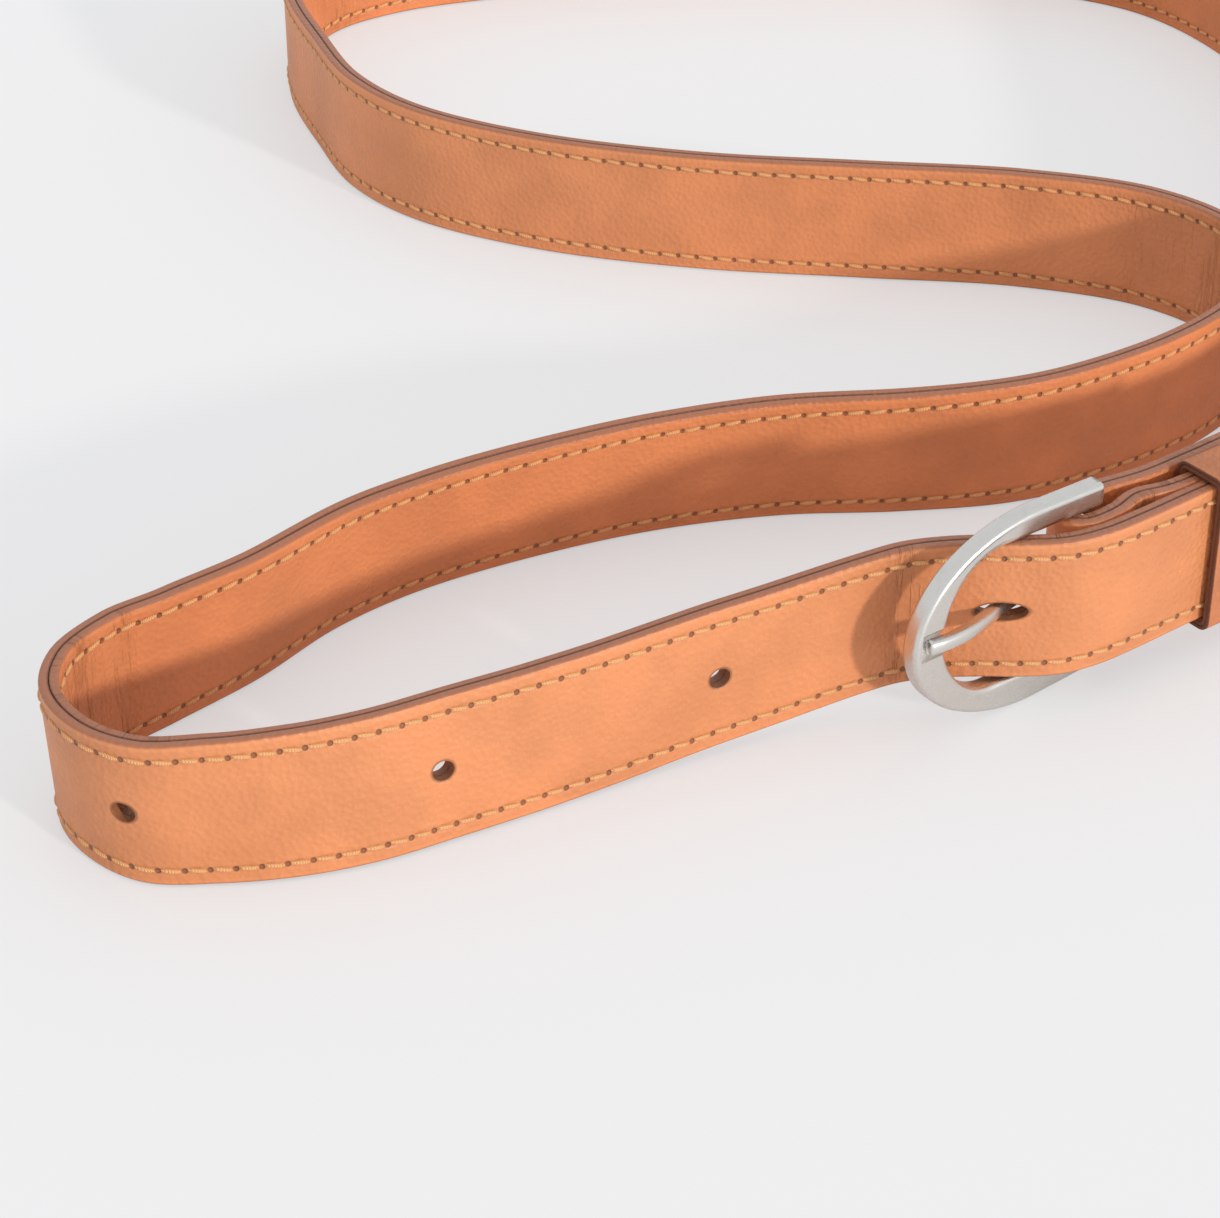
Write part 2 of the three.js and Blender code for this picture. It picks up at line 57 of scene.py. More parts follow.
# ---- Sizes shared with the frame, in millimetres --------------------------
STRAP_WIDTH = 22.0
PLY = 1.25
PLY_GAP = 0.3
STRAP = 2 * PLY + PLY_GAP
CLEAR = 0.3
TIP_ROUND = 13.0
TIP_BLUNT = 3.5
HOLE_PITCH = 42.0
HOLE_HEIGHT = 2.9
HOLE_LENGTH = 3.2
USED_HOLE_LENGTH = 7.4
TIP_TO_USED_HOLE = 92.0
STITCH_INSET = 2.4
ARM = 5.3
ARM_CLEAR = 0.4
FRAME_THICK = 3.1
FRAME_FRONT = 2.1
FRAME_REACH = 31.3
OUTER_BEND = 9.0
INNER_BEND = 16.5
WINDOW_REACH = 26.0
FRAME_TOP = 31.8
ARM_TAIL = 2.6
BAR_RADIUS = 1.4
FOLD_SLOT_HEIGHT = 5.2
FOLD_SLOT_REACH = 8.0
KEEPER_WIDTH = 10.0
KEEPER_PLY = 1.3
KEEPER_START = 18.5
KEEPER_CORNER = 0.6
KEEPER_CORNER_STEPS = 12
TURN_BACK = 48.0
TURN_BACK_SEAM = 43.0
NOTCH_DEPTH = 1.3
NOTCH_HEIGHT = 4.4
NOTCH_LENGTH = 9.6
NOTCH_MARGIN = 1.2
PRONG_LOOP_HEIGHT = 3.6
PRONG_LOOP_RADIUS = 2.1
PRONG_LOOP_HALF = 0.5
BOND_HALF = 0.02
EDGE_ROUND = 0.38
STITCH_PITCH = 3.3
STITCH_HALF_LENGTH = 1.36
STITCH_HALF_WIDTH = 0.36
STITCH_HALF_DEPTH = 0.30
STITCH_TUCK = 0.16
STITCH_PROUD = 0.02

EDGE_LIFT = ARM + ARM_CLEAR
FRAME_HEIGHT = 2 * EDGE_LIFT + STRAP_WIDTH
MID_HEIGHT = FRAME_HEIGHT / 2
FOLD_RADIUS = BAR_RADIUS + 0.25 + STRAP / 2
BILLET_OFFSET = FOLD_RADIUS + STRAP + CLEAR
KEEPER_FRONT = BILLET_OFFSET + STRAP / 2 + 0.3 + CLEAR
KEEPER_REAR = FOLD_RADIUS - STRAP / 2 - CLEAR
KEEPER_LOW = EDGE_LIFT - CLEAR
KEEPER_HIGH = EDGE_LIFT + STRAP_WIDTH + CLEAR
BUCKLE_ANGLE = math.radians(36.5)
REACH_DIR = (-math.cos(BUCKLE_ANGLE), -math.sin(BUCKLE_ANGLE))
FRONT_DIR = (math.sin(BUCKLE_ANGLE), -math.cos(BUCKLE_ANGLE))

# The bar's axis comes from the frame's joint, and the route is drawn around it.
BAR_JOINT = next(j for j in frame["joints"] if j["name"] == "buckle_pivot")
BAR_AXIS = (BAR_JOINT["pos_m"][0] / MM, BAR_JOINT["pos_m"][1] / MM)
DRAWN_BAR = (65.4, 49.9)
SHIFT = (BAR_AXIS[0] - DRAWN_BAR[0], BAR_AXIS[1] - DRAWN_BAR[1])

# The camera's place is drawn in the route's millimetres.
CAMERA_PLACE = (0.0, -329.1, 256.85)
CAMERA_PITCH = 57.0
KEY_TRAVEL = (-0.70, 0.71)
KEY_ELEVATION = 16.0
KEY_WIDTH = 4.5
KEY_COLOUR = (1.0, 0.965, 0.92)
SKY_COLOUR = (0.965, 0.98, 1.0, 1.0)
TABLE_WHITE = (0.875, 0.875, 0.88, 1.0)
TABLE_LIFT = 0.55


def at_buckle(reach, front, height=EDGE_LIFT, lean=0.0):
    """A point near the buckle: reach from the bar to the bow, front to the face."""
    x = DRAWN_BAR[0] + reach * REACH_DIR[0] + front * FRONT_DIR[0]
    y = DRAWN_BAR[1] + reach * REACH_DIR[1] + front * FRONT_DIR[1]
    return (x, y, height, lean)


# ---- The strap's route: x, y, edge height, lean in degrees towards the face ----
STRAIGHT_END = -50.0
LEG = [(133, 194, 0, 0), (131.2, 160, 0.6, 0), (127.8, 128, 2.2, 0)]
LEG_BEND = [(124.6, 107, 3.9, 0), (120.2, 94, 4.7, 0), (114.2, 83.6, 5.4, 0)]


def beside_leg(route):
    """The points one strap thickness to the face side of a route's inner points."""
    gap = STRAP + 2 * CLEAR
    shifted = []
    for before, point, after in zip(route, route[1:], route[2:]):
        heading = math.atan2(after[1] - before[1], after[0] - before[0])
        x = point[0] - gap * math.sin(heading)
        y = point[1] + gap * math.cos(heading)
        shifted.append((x, y, point[2], point[3]))
    return shifted


TIP_ON_LEG = beside_leg([LEG[2], *LEG_BEND, at_buckle(STRAIGHT_END, FOLD_RADIUS)])
BILLET = [
    at_buckle(STRAIGHT_END, BILLET_OFFSET), at_buckle(-30, BILLET_OFFSET),
    at_buckle(-16, BILLET_OFFSET), at_buckle(-6, BILLET_OFFSET + 0.2),
    at_buckle(1, BILLET_OFFSET), at_buckle(6.7, 4.9), at_buckle(11.4, 2.2),
    at_buckle(15.9, -1.2), at_buckle(20.3, -4.8, 5.3), at_buckle(25.1, -8.1, 4.6),
]
FRONT_RUN = [
    (34.8, 40, 3.7, 0), (23.1, 35.2, 2, -1), (11.7, 29.6, 1, -2), (0.7, 23.3, 0.3, -3),
    (-10.1, 17.1, 0, -4), (-20.6, 11.3, 0, -5), (-30.7, 6.1, 0, -5), (-40.8, 2.9, 0, -4),
    (-50.9, 1.6, 0, -2),
]
LEFT_BEND = [
    (-60.6, 1.9, 0, 0), (-67.6, 6.6, 0, 2), (-72.4, 14, 0, 2), (-72.8, 22.5, 0, 1),
    (-68.6, 31, 0, -1), (-61.8, 38, 0, -4),
]
SECOND_RUN = [
    (-51.4, 48.6, 0, -7), (-41, 62, 0, -10), (-29.2, 72.2, 0, -12), (-11.2, 82.4, 0, -12),
    (7.3, 89.9, 0, -11), (26.2, 94.2, 0, -9), (44.9, 95.4, 0, -7), (63.2, 98.4, 0, -4),
]
RIGHT_BEND = [
    (82.6, 107.8, 0, -1), (97.6, 121, 0, 0), (106, 135.5, 0, 0), (104, 151.5, 0, 1),
    (92.8, 163.6, 0, 2),
]
THIRD_RUN = [
    (72.2, 171.2, 0, 3), (44.2, 174.8, 0, 3), (16.1, 178.3, 0, 3), (-12, 185.7, 0, 2),
    (-34, 197.3, 0, 1),
]
BACK_LEFT_BEND = [
    (-46.5, 211, 0, 0), (-54.5, 230, 0, 0), (-61, 250, 0, 0), (-62.4, 266, 0, 0),
    (-57.6, 284, 0, 0), (-45, 295, 0, 0),
]
BACK_RUN = [
    (-24, 303, 0, 0), (8, 310, 0, 0), (44, 313, 0, 0), (80, 309, 0, 0), (110, 295, 0, 0),
    (127, 266, 0, 0), (132, 230, 0, 0),
]
LEG_END = [
    at_buckle(STRAIGHT_END, FOLD_RADIUS), at_buckle(-32, FOLD_RADIUS),
    at_buckle(-14.5, FOLD_RADIUS), at_buckle(-9, FOLD_RADIUS - 1.2),
    at_buckle(-4.2, FOLD_RADIUS - 0.1),
]
FOLD = [
    at_buckle(FOLD_RADIUS * math.cos(math.radians(a)), FOLD_RADIUS * math.sin(math.radians(a)))
    for a in (90, 60, 30, 0, -30, -60, -90)
]
KEEPER_BACK = FOLD_RADIUS - STRAP - KEEPER_PLY - 3 * CLEAR
SEAM_OFFSET = FOLD_RADIUS - STRAP - 2 * CLEAR
TURN_BACK_RUN = [
    at_buckle(-6, -FOLD_RADIUS), at_buckle(-14, KEEPER_BACK), at_buckle(-24, KEEPER_BACK),
    at_buckle(-34, KEEPER_BACK), at_buckle(-40, SEAM_OFFSET), at_buckle(-TURN_BACK, SEAM_OFFSET),
]
ROUTE = [
    *TIP_ON_LEG, *BILLET, *FRONT_RUN, *LEFT_BEND, *SECOND_RUN, *RIGHT_BEND, *THIRD_RUN,
    *BACK_LEFT_BEND, *BACK_RUN, *LEG, *LEG_BEND, *LEG_END, *FOLD, *TURN_BACK_RUN,
]


# ---- The route as a smooth curve -------------------------------------------
FINE_STEPS = 12000
LEAN_TENSION = 0.3


def hermite(x1, x2, t1, t2, w):
    """A cubic from x1 to x2 with the end slopes t1 and t2."""
    c2 = -3 * x1 + 3 * x2 - 2 * t1 - t2
    c3 = 2 * x1 - 2 * x2 + t1 + t2
    return x1 + t1 * w + c2 * w ** 2 + c3 * w ** 3


def route_samples():
    """Distance, place, heading and lean at fine steps along the route."""
    knots = np.array(ROUTE, dtype=float)
    first = 2 * knots[0] - knots[1]
    last = 2 * knots[-1] - knots[-2]
    knots = np.vstack([first, knots, last])
    spans = len(ROUTE) - 1
    t = np.linspace(0, spans, FINE_STEPS + 1)
    index = np.minimum(t.astype(int), spans - 1)
    w = (t - index)[:, None]
    p0, p1, p2, p3 = (knots[index + k] for k in range(4))
    d0, d1, d2 = (
        np.sqrt(np.linalg.norm((b - a)[:, :3], axis=1))[:, None]
        for a, b in ((p0, p1), (p1, p2), (p2, p3)))
    t1 = d1 * ((p1 - p0) / d0 - (p2 - p0) / (d0 + d1) + (p2 - p1) / d1)
    t2 = d1 * ((p2 - p1) / d1 - (p3 - p1) / (d1 + d2) + (p3 - p2) / d2)
    place = hermite(p1, p2, t1, t2, w)
    lean = hermite(p1, p2, LEAN_TENSION * (p2 - p0), LEAN_TENSION * (p3 - p1), w)[:, 3]
    x, y = place[:, 0], place[:, 1]
    z = np.maximum(0, place[:, 2])
    steps = np.sqrt(np.diff(x) ** 2 + np.diff(y) ** 2 + np.diff(z) ** 2)
    distance = np.concatenate([[0], np.cumsum(steps)])
    heading = np.unwrap(np.arctan2(np.gradient(y), np.gradient(x)))
    return {"s": distance, "x": x, "y": y, "z": z, "heading": heading,
            "lean": np.radians(lean)}


SAMPLES = route_samples()


def buckle_reach(x, y):
    """How far drawn points lie from the bar towards the bow."""
    return (x - DRAWN_BAR[0]) * REACH_DIR[0] + (y - DRAWN_BAR[1]) * REACH_DIR[1]


def buckle_front(x, y):
    """How far drawn points lie in front of the bar."""
    return (x - DRAWN_BAR[0]) * FRONT_DIR[0] + (y - DRAWN_BAR[1]) * FRONT_DIR[1]


def used_hole_distance():
    """Where the free run passes the prong's line, as a distance along the route."""
    front = buckle_front(SAMPLES["x"], SAMPLES["y"])
    crossing = np.nonzero((front[:-1] >= 0.2) & (front[1:] < 0.2))[0][0]
    return SAMPLES["s"][crossing + 1]


USED_HOLE = used_hole_distance()
STRAP_START = USED_HOLE - TIP_TO_USED_HOLE
STRAP_END = SAMPLES["s"][-1]
HOLES = [USED_HOLE + step * HOLE_PITCH for step in (-1, 0, 1, 2, 3)]
FOLD_START = STRAP_END - TURN_BACK - math.pi * FOLD_RADIUS


def leg_distance(reach):
    """Where the strap behind the buckle comes to a given reach."""
    s = SAMPLES["s"]
    before = (s < FOLD_START) & (buckle_reach(SAMPLES["x"], SAMPLES["y"]) <= reach)
    return s[np.nonzero(before)[0][-1]]


def on_strap(s, side, height):
    """World points in metres: s along the strap, side towards the face, height."""
    s, side, height = np.broadcast_arrays(
        np.asarray(s, float), np.asarray(side, float), np.asarray(height, float))
    x, y, z, heading, lean = (
        np.interp(s, SAMPLES["s"], SAMPLES[key]) for key in ("x", "y", "z", "heading", "lean"))
    foot = np.abs(np.sin(lean)) * STRAP / 2
    across = side * np.cos(lean) + height * np.sin(lean)
    up = height * np.cos(lean) - side * np.sin(lean) + foot
    px = x - across * np.sin(heading) + SHIFT[0]
    py = y + across * np.cos(heading) + SHIFT[1]
    return np.stack([px, py, z + up], axis=-1) * MM


def world_point(point):
    """A drawn point in millimetres as a world vector in metres."""
    return Vector(((point[0] + SHIFT[0]) * MM, (point[1] + SHIFT[1]) * MM, point[2] * MM))


# ---- Stitch rows, as distances along the route ---------------------------------
TIP_REACH = buckle_reach(*(np.interp(STRAP_START, SAMPLES["s"], SAMPLES[k]) for k in ("x", "y")))
BILLET_END = SAMPLES["s"][np.nonzero(buckle_reach(SAMPLES["x"], SAMPLES["y"]) >= 5)[0][0]]
FACE_ROW = (STRAP_START + TIP_ROUND, leg_distance(TIP_REACH - 6))
LINING_ROW = (BILLET_END, leg_distance(-TURN_BACK - 4))
STRAP_LENGTH = STRAP_END - STRAP_START
LOWER_ROW = STITCH_INSET
UPPER_ROW = STRAP_WIDTH - STITCH_INSET
MIDDLE = STRAP_WIDTH / 2


# ---- Small modelling helpers --------------------------------------------------
def deselect_all():
    """Leaves edit mode and selects nothing."""
    if bpy.context.object and bpy.context.object.mode != "OBJECT":
        bpy.ops.object.mode_set(mode="OBJECT")
    bpy.ops.object.select_all(action="DESELECT")


def just_added(name):
    """Names the piece that the last operator made."""
    piece = bpy.context.active_object
    piece.name = name
    piece.data.name = name
    return piece


def coordinates(piece):
    """The piece's vertices, one row each."""
    flat = np.empty(len(piece.data.vertices) * 3)
    piece.data.vertices.foreach_get("co", flat)
    return flat.reshape(-1, 3)


def reshape(piece, points):
    """Puts the piece's vertices at new points."""
    piece.data.vertices.foreach_set("co", np.asarray(points, float).ravel())
    piece.data.update()


def settle(piece):
    """Moves the object's own place and size into its mesh."""
    piece.data.transform(piece.matrix_basis)
    piece.matrix_basis = Matrix.Identity(4)
    return piece


def finish_with(piece, kind, **settings):
    """Adds one modifier and applies it."""
    bpy.context.view_layer.objects.active = piece
    modifier = piece.modifiers.new(kind.title(), kind)
    for key, value in settings.items():
        setattr(modifier, key, value)
    bpy.ops.object.modifier_apply(modifier=modifier.name)


def edit_all(piece, *steps):
    """Runs edit-mode operators on the whole of one piece."""
    deselect_all()
    bpy.context.view_layer.objects.active = piece
    piece.select_set(True)
    bpy.ops.object.mode_set(mode="EDIT")
    bpy.ops.mesh.select_all(action="SELECT")
    for step, settings in steps:
        step(**settings)
    bpy.ops.object.mode_set(mode="OBJECT")


def close_and_face_out(piece, gap=1e-4):
    """Merges doubled points and turns every face outwards."""
    edit_all(piece, (bpy.ops.mesh.remove_doubles, {"threshold": gap}),
             (bpy.ops.mesh.normals_make_consistent, {"inside": False}))


def smooth(piece, degrees):
    deselect_all()
    bpy.context.view_layer.objects.active = piece
    piece.select_set(True)
    bpy.ops.object.shade_smooth_by_angle(angle=math.radians(degrees))


def note(piece, name, values, kind="FLOAT_VECTOR"):
    """Keeps one value per vertex for the materials to read."""
    attribute = piece.data.attributes.new(name, kind, "POINT")
    key = "vector" if kind == "FLOAT_VECTOR" else "value"
    attribute.data.foreach_set(key, np.asarray(values, np.float32).ravel())


def join(pieces, name):
    deselect_all()
    for piece in pieces:
        piece.select_set(True)
    bpy.context.view_layer.objects.active = pieces[0]
    if len(pieces) > 1:
        bpy.ops.object.join()
    return just_added(name)


def cut_away(piece, cutters):
    """Cuts the joined cutters out of the piece."""
    cutter = join(cutters, "cutter")
    finish_with(piece, "BOOLEAN", operation="DIFFERENCE", object=cutter, solver="EXACT")
    bpy.data.objects.remove(cutter)


def stand_at_buckle(points):
    """Reach, height and front in millimetres, as world metres."""
    points = np.asarray(points, float)
    reach, height, front = points[:, 0], points[:, 1], points[:, 2]
    x = BAR_AXIS[0] + reach * REACH_DIR[0] + front * FRONT_DIR[0]
    y = BAR_AXIS[1] + reach * REACH_DIR[1] + front * FRONT_DIR[1]
    return np.stack([x, y, height], axis=1) * MM


def put_on(piece, body, slot, *nodes):
    """Puts a finished piece on its body in place of the frame's own nodes."""
    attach(piece, body)
    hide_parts(*nodes)


# ---- Materials ------------------------------------------------------------------
class Value:
    """A node's output that takes part in Python expressions."""

    def __init__(self, finish, socket):
        self.finish = finish
        self.socket = socket

    def math(self, operation, *terms):
        return self.finish.node("ShaderNodeMath", {"operation": operation},
                                dict(enumerate(terms)))

    def __add__(self, other):
        return self.math("ADD", self, other)

    def __radd__(self, other):
        return self.math("ADD", other, self)

    def __sub__(self, other):
        return self.math("SUBTRACT", self, other)

    def __rsub__(self, other):
        return self.math("SUBTRACT", other, self)

    def __mul__(self, other):
        return self.math("MULTIPLY", self, other)

    def __rmul__(self, other):
        return self.math("MULTIPLY", other, self)

    def __truediv__(self, other):
        return self.math("DIVIDE", self, other)

    def __abs__(self):
        return self.math("ABSOLUTE", self)

    def __pow__(self, other):
        return self.math("POWER", self, other)

    def most(self, other):
        return self.math("MAXIMUM", self, other)

    def from_nearest(self, spacing):
        """Distance to the nearest multiple of a spacing."""
        return abs(self.math("PINGPONG", self, spacing / 2))

    def ramp(self, low, high, start=0.0, end=1.0):
        """Runs smoothly from start to end as the value goes from low to high."""
        return self.finish.node(
            "ShaderNodeMapRange", {"interpolation_type": "SMOOTHSTEP"},
            {"Value": self, "From Min": low, "From Max": high, "To Min": start, "To Max": end})


class Finish:
    """The nodes of one material."""

    def __init__(self, name):
        self.material = bpy.data.materials.new(name)
        self.material.use_nodes = True
        self.tree = self.material.node_tree
        self.tree.nodes.clear()

    def node(self, kind, settings=None, values=None, output=0):
        node = self.tree.nodes.new(kind)
        for key, value in (settings or {}).items():
            setattr(node, key, value)
        for key, value in (values or {}).items():
            if isinstance(value, Value):
                self.tree.links.new(value.socket, node.inputs[key])
            else:
                node.inputs[key].default_value = value
        return Value(self, node.outputs[output])

    def attribute(self, name, output="Vector"):
        return self.node("ShaderNodeAttribute", {"attribute_name": name}, output=output)

    def parts(self, vector):
        split = self.node("ShaderNodeSeparateXYZ", values={0: vector})
        outputs = split.socket.node.outputs
        return [Value(self, outputs[axis]) for axis in range(3)]

    def place(self, x, y, z=0.0):
        return self.node("ShaderNodeCombineXYZ", values={0: x, 1: y, 2: z})

    def noise(self, vector, scale, detail=2.0, roughness=0.5):
        return self.node("ShaderNodeTexNoise", values={
            "Vector": vector, "Scale": scale, "Detail": detail, "Roughness": roughness})

    def blend(self, factor, first, second):
        return self.node("ShaderNodeMix", {"data_type": "RGBA"},
                         {0: factor, 6: first, 7: second}, output=2)

    def surface(self, values, height=None, fixed=None):
        """The shader: values may vary over the surface, fixed are the same all over."""
        shader = self.node("ShaderNodeBsdfPrincipled", values={**(fixed or {}), **values})
        node = shader.socket.node
        if height is not None:
            bump = self.node("ShaderNodeBump", values={
                "Height": height, "Distance": MM, "Strength": 1.0})
            self.tree.links.new(bump.socket, node.inputs["Normal"])
        return self.ends_in(shader)

    def ends_in(self, shader):
        """Links the last shader to the output and hands over the material."""
        out = self.tree.nodes.new("ShaderNodeOutputMaterial")
        self.tree.links.new(shader.socket, out.inputs["Surface"])
        return self.material


def shade(colour, amount):
    """A colour made lighter or darker, with its alpha."""
    return (colour[0] * amount, colour[1] * amount, colour[2] * amount, 1.0)


def strap_leather(name, colour, settings, row):
    """Grained leather with burnished edges, punched holes and a needle hole per stitch, with
    painted shade in the creases, holes and stitch groove and a painted highlight along the edges.
    """
    make = Finish(name)
    along, height, side = make.parts(make.attribute("lay"))
    rim = make.attribute("rim", "Fac")
    bend = make.attribute("bend", "Fac")
    flat = make.place(along, height, side)

    grain = make.node("ShaderNodeTexVoronoi", {"feature": "SMOOTH_F1"}, {
        "Vector": flat, "Scale": settings.grain_scale, "Smoothness": 0.35})
    pores = make.noise(flat, 4.5, 3.0, 0.6)
    cloud = make.noise(flat, 0.07, 3.0, 0.55)
    rub = make.noise(make.place(along * 0.25, height * 1.6, 0.0), 1.0, 3.0, 0.6)
    folds = make.noise(make.place(along * 0.8, height * 0.07, 0.0), 1.0, 4.0, 0.6)
    creases = folds.ramp(0.34, 0.5) * bend.ramp(0.012, 0.06)

    # Needle holes: one between every two stitches of both rows, each a dent with a dark dot of
    # painted shade.
    from_row = abs(height - MIDDLE) - (UPPER_ROW - MIDDLE)
    start, end = row[0] - STRAP_START, row[1] - STRAP_START
    in_row = along.ramp(start - 0.4, start) * along.ramp(end, end + 0.4, 1.0, 0.0)
    from_needle = (along - start).from_nearest(STITCH_PITCH)
    needle = ((from_needle ** 2.0 + from_row ** 2.0) ** 0.5).ramp(0.22, 0.5, 1.0, 0.0) * in_row
    channel = abs(from_row).ramp(0.25, 0.75, 1.0, 0.0) * in_row

    # Punched holes, with the one in use drawn out; their walls and rims are darkened as painted
    # shade.
    first, used, last = (HOLES[k] - STRAP_START for k in (0, 1, -1))
    from_hole = (along - first).from_nearest(HOLE_PITCH)
    in_holes = along.ramp(first - 4, first - 3.8) * along.ramp(last + 3.8, last + 4, 1.0, 0.0)
    oval = ((from_hole / (HOLE_LENGTH / 2)) ** 2.0
            + ((height - MIDDLE) / (HOLE_HEIGHT / 2)) ** 2.0) ** 0.5
    long_oval = (((along - used) / (USED_HOLE_LENGTH / 2)) ** 2.0
                 + ((height - MIDDLE) / (HOLE_HEIGHT / 2)) ** 2.0) ** 0.5
    punched = (oval.ramp(1.0, 1.3, 1.0, 0.0) * in_holes).most(long_oval.ramp(1.0, 1.2, 1.0, 0.0))

    edge = rim.ramp(0.1, 0.36, 1.0, 0.0)
    # painted highlight: a lighter band just inside the rounded edge of the face
    painted_edge_highlight = rim.ramp(0.36, 0.5) * rim.ramp(0.6, 1.0, 1.0, 0.0)
    bond = abs(side).ramp(0.1, 0.34, 1.0, 0.0)

    tone = cloud.ramp(0.3, 0.7)
    skin = make.blend(tone, shade(colour, 0.90), shade(colour, 1.07))
    skin = make.blend(pores.ramp(0.52, 0.72, 0.0, 0.22), skin, shade(colour, 0.62))
    skin = make.blend(rub.ramp(0.58, 0.8, 0.0, 0.25), skin, shade(colour, 1.16))
    # painted shade: the leather is darkened in the bending creases
    skin = make.blend(creases * 0.35, skin, shade(colour, 0.58))
    # painted shade: the leather is darkened along the stitch groove
    skin = make.blend(channel * 0.25, skin, shade(colour, 0.66))
    skin = make.blend(painted_edge_highlight * 0.35, skin, shade(colour, 1.22))
    skin = make.blend(edge * 0.92, skin, (*settings.edge_colour, 1.0))
    skin = make.blend(bond * 0.75, skin, (*settings.bond_colour, 1.0))
    # painted shade: the punched holes' walls and rims are darkened
    skin = make.blend(punched * 0.8, skin, shade(colour, 0.30))
    # painted shade: dark dots stand in for the shade inside the needle holes
    skin = make.blend(needle * 0.75, skin, shade(colour, 0.24))

    relief = (grain * settings.grain_depth + pores * 0.02 - creases * settings.crease_depth
              - needle * 0.3 - channel * 0.08 - punched * 0.12)
    roughness = pores * 0.18 + cloud * 0.08 + settings.roughness - 0.14 - edge * 0.08
    return make.surface({"Base Color": skin, "Roughness": roughness}, relief,
                        {"Specular IOR Level": 0.42})


def keeper_leather(name, colour, settings):
    """The same leather on the keeper, with its two plies showing at the edges."""
    make = Finish(name)
    around, across, layer = make.parts(make.attribute("lay"))
    flat = make.place(around, across, layer)
    grain = make.node("ShaderNodeTexVoronoi", {"feature": "SMOOTH_F1"}, {
        "Vector": flat, "Scale": settings.grain_scale * 1.15, "Smoothness": 0.35})
    pores = make.noise(flat, 4.5, 3.0, 0.6)
    cloud = make.noise(flat, 0.16, 3.0, 0.55)
    rim = abs(across - KEEPER_WIDTH / 2)
    edge = rim.ramp(KEEPER_WIDTH / 2 - 0.22, KEEPER_WIDTH / 2 - 0.06)
    bond = layer.from_nearest(1.0).ramp(0.02, 0.12, 1.0, 0.0) * edge
    skin = make.blend(cloud.ramp(0.3, 0.7), shade(colour, 0.86), shade(colour, 1.06))
    skin = make.blend(pores.ramp(0.52, 0.72, 0.0, 0.25), skin, shade(colour, 0.6))
    skin = make.blend(edge * 0.85, skin, (*settings.edge_colour, 1.0))
    skin = make.blend(bond * 0.8, skin, (*settings.bond_colour, 1.0))
    relief = grain * settings.grain_depth + pores * 0.02
    return make.surface({"Base Color": skin, "Roughness": pores * 0.2 + settings.roughness - 0.1},
                        relief, {"Specular IOR Level": 0.42})


def waxed_thread(name, colour):
    """Three-strand thread: fine slanted strands along each stitch."""
    make = Finish(name)
    along, across, around = make.parts(make.attribute("lay"))
    strands = (along * 1.1 + around * 1.6).from_nearest(0.42)
    fibre = make.noise(make.place(along * 1.5, across * 6.0, around * 6.0), 3.0, 3.0, 0.6)
    worn = make.noise(make.place(along, across, 0.0), 0.11, 2.0)
    # painted shade: the thread is darkened in the grooves between its strands
    skin = make.blend(strands.ramp(0.0, 0.09), shade(colour, 0.52), shade(colour, 1.0))
    skin = make.blend(fibre.ramp(0.4, 0.75, 0.0, 0.35), skin, shade(colour, 1.25))
    skin = make.blend(worn.ramp(0.5, 0.8, 0.0, 0.4), skin, shade(colour, 0.76))
    relief = strands * 0.35 + fibre * 0.04
    return make.surface({"Base Color": skin, "Roughness": fibre * 0.2 + 0.52}, relief)


def satin_metal(name, colour, roughness):
    """Plated metal, brushed along the frame, with faint handling marks."""
    make = Finish(name)
    place = make.node("ShaderNodeTexCoord", output="Object")
    turned = make.node("ShaderNodeMapping", values={
        "Vector": place, "Rotation": (0.0, 0.0, -BUCKLE_ANGLE)})
    x, y, z = make.parts(turned)
    brushed = make.noise(make.place(x * 260.0, y * 5200.0, z * 5200.0), 1.0, 3.0, 0.6)
    marks = make.noise(turned, 420.0, 4.0, 0.6)
    dull = marks.ramp(0.45, 0.75)
    skin = make.blend(dull * 0.35, shade(colour, 1.0), shade(colour, 0.78))
    return make.surface(
        {"Base Color": skin, "Roughness": brushed * 0.12 + dull * 0.1 + (roughness - 0.08)},
        brushed * 0.012 + marks * 0.01, {"Metallic": 1.0})


def table_top(name, colour):
    """A matt white table: seen directly it is lifted towards white and keeps soft shadows."""
    make = Finish(name)
    matt = make.node("ShaderNodeBsdfPrincipled", values={
        "Base Color": (*colour, 1.0), "Roughness": 0.6, "Specular IOR Level": 0.25})
    white = make.node("ShaderNodeEmission", values={"Color": TABLE_WHITE, "Strength": 1.0})
    seen = make.node("ShaderNodeLightPath", output="Is Camera Ray") * TABLE_LIFT
    return make.ends_in(make.node("ShaderNodeMixShader", values={0: seen, 1: matt, 2: white}))


# ---- The strap ------------------------------------------------------------------
def outline_height(along):
    """Low and high edge of the flat strap at a distance from its tip."""
    share = np.clip(1 - along / TIP_ROUND, 0, 1)
    height = TIP_BLUNT + (STRAP_WIDTH - TIP_BLUNT) * np.sqrt(1 - share ** 2)
    return (STRAP_WIDTH - height) / 2, (STRAP_WIDTH + height) / 2


def station_spread(count):
    """Distances along the strap, closer together at the tip and in the fold."""
    s = np.linspace(0, STRAP_LENGTH, 8000)
    fold = FOLD_START - STRAP_START
    weight = np.ones_like(s)
    weight[s < 14] = 2.0
    weight[s < 2] = 6.0
    weight[(s > fold - 3) & (s < fold + math.pi * FOLD_RADIUS + 3)] = 3.0
    total = np.concatenate([[0], np.cumsum(weight[:-1] * np.diff(s))])
    return np.interp(np.linspace(0, total[-1], count), total, s)


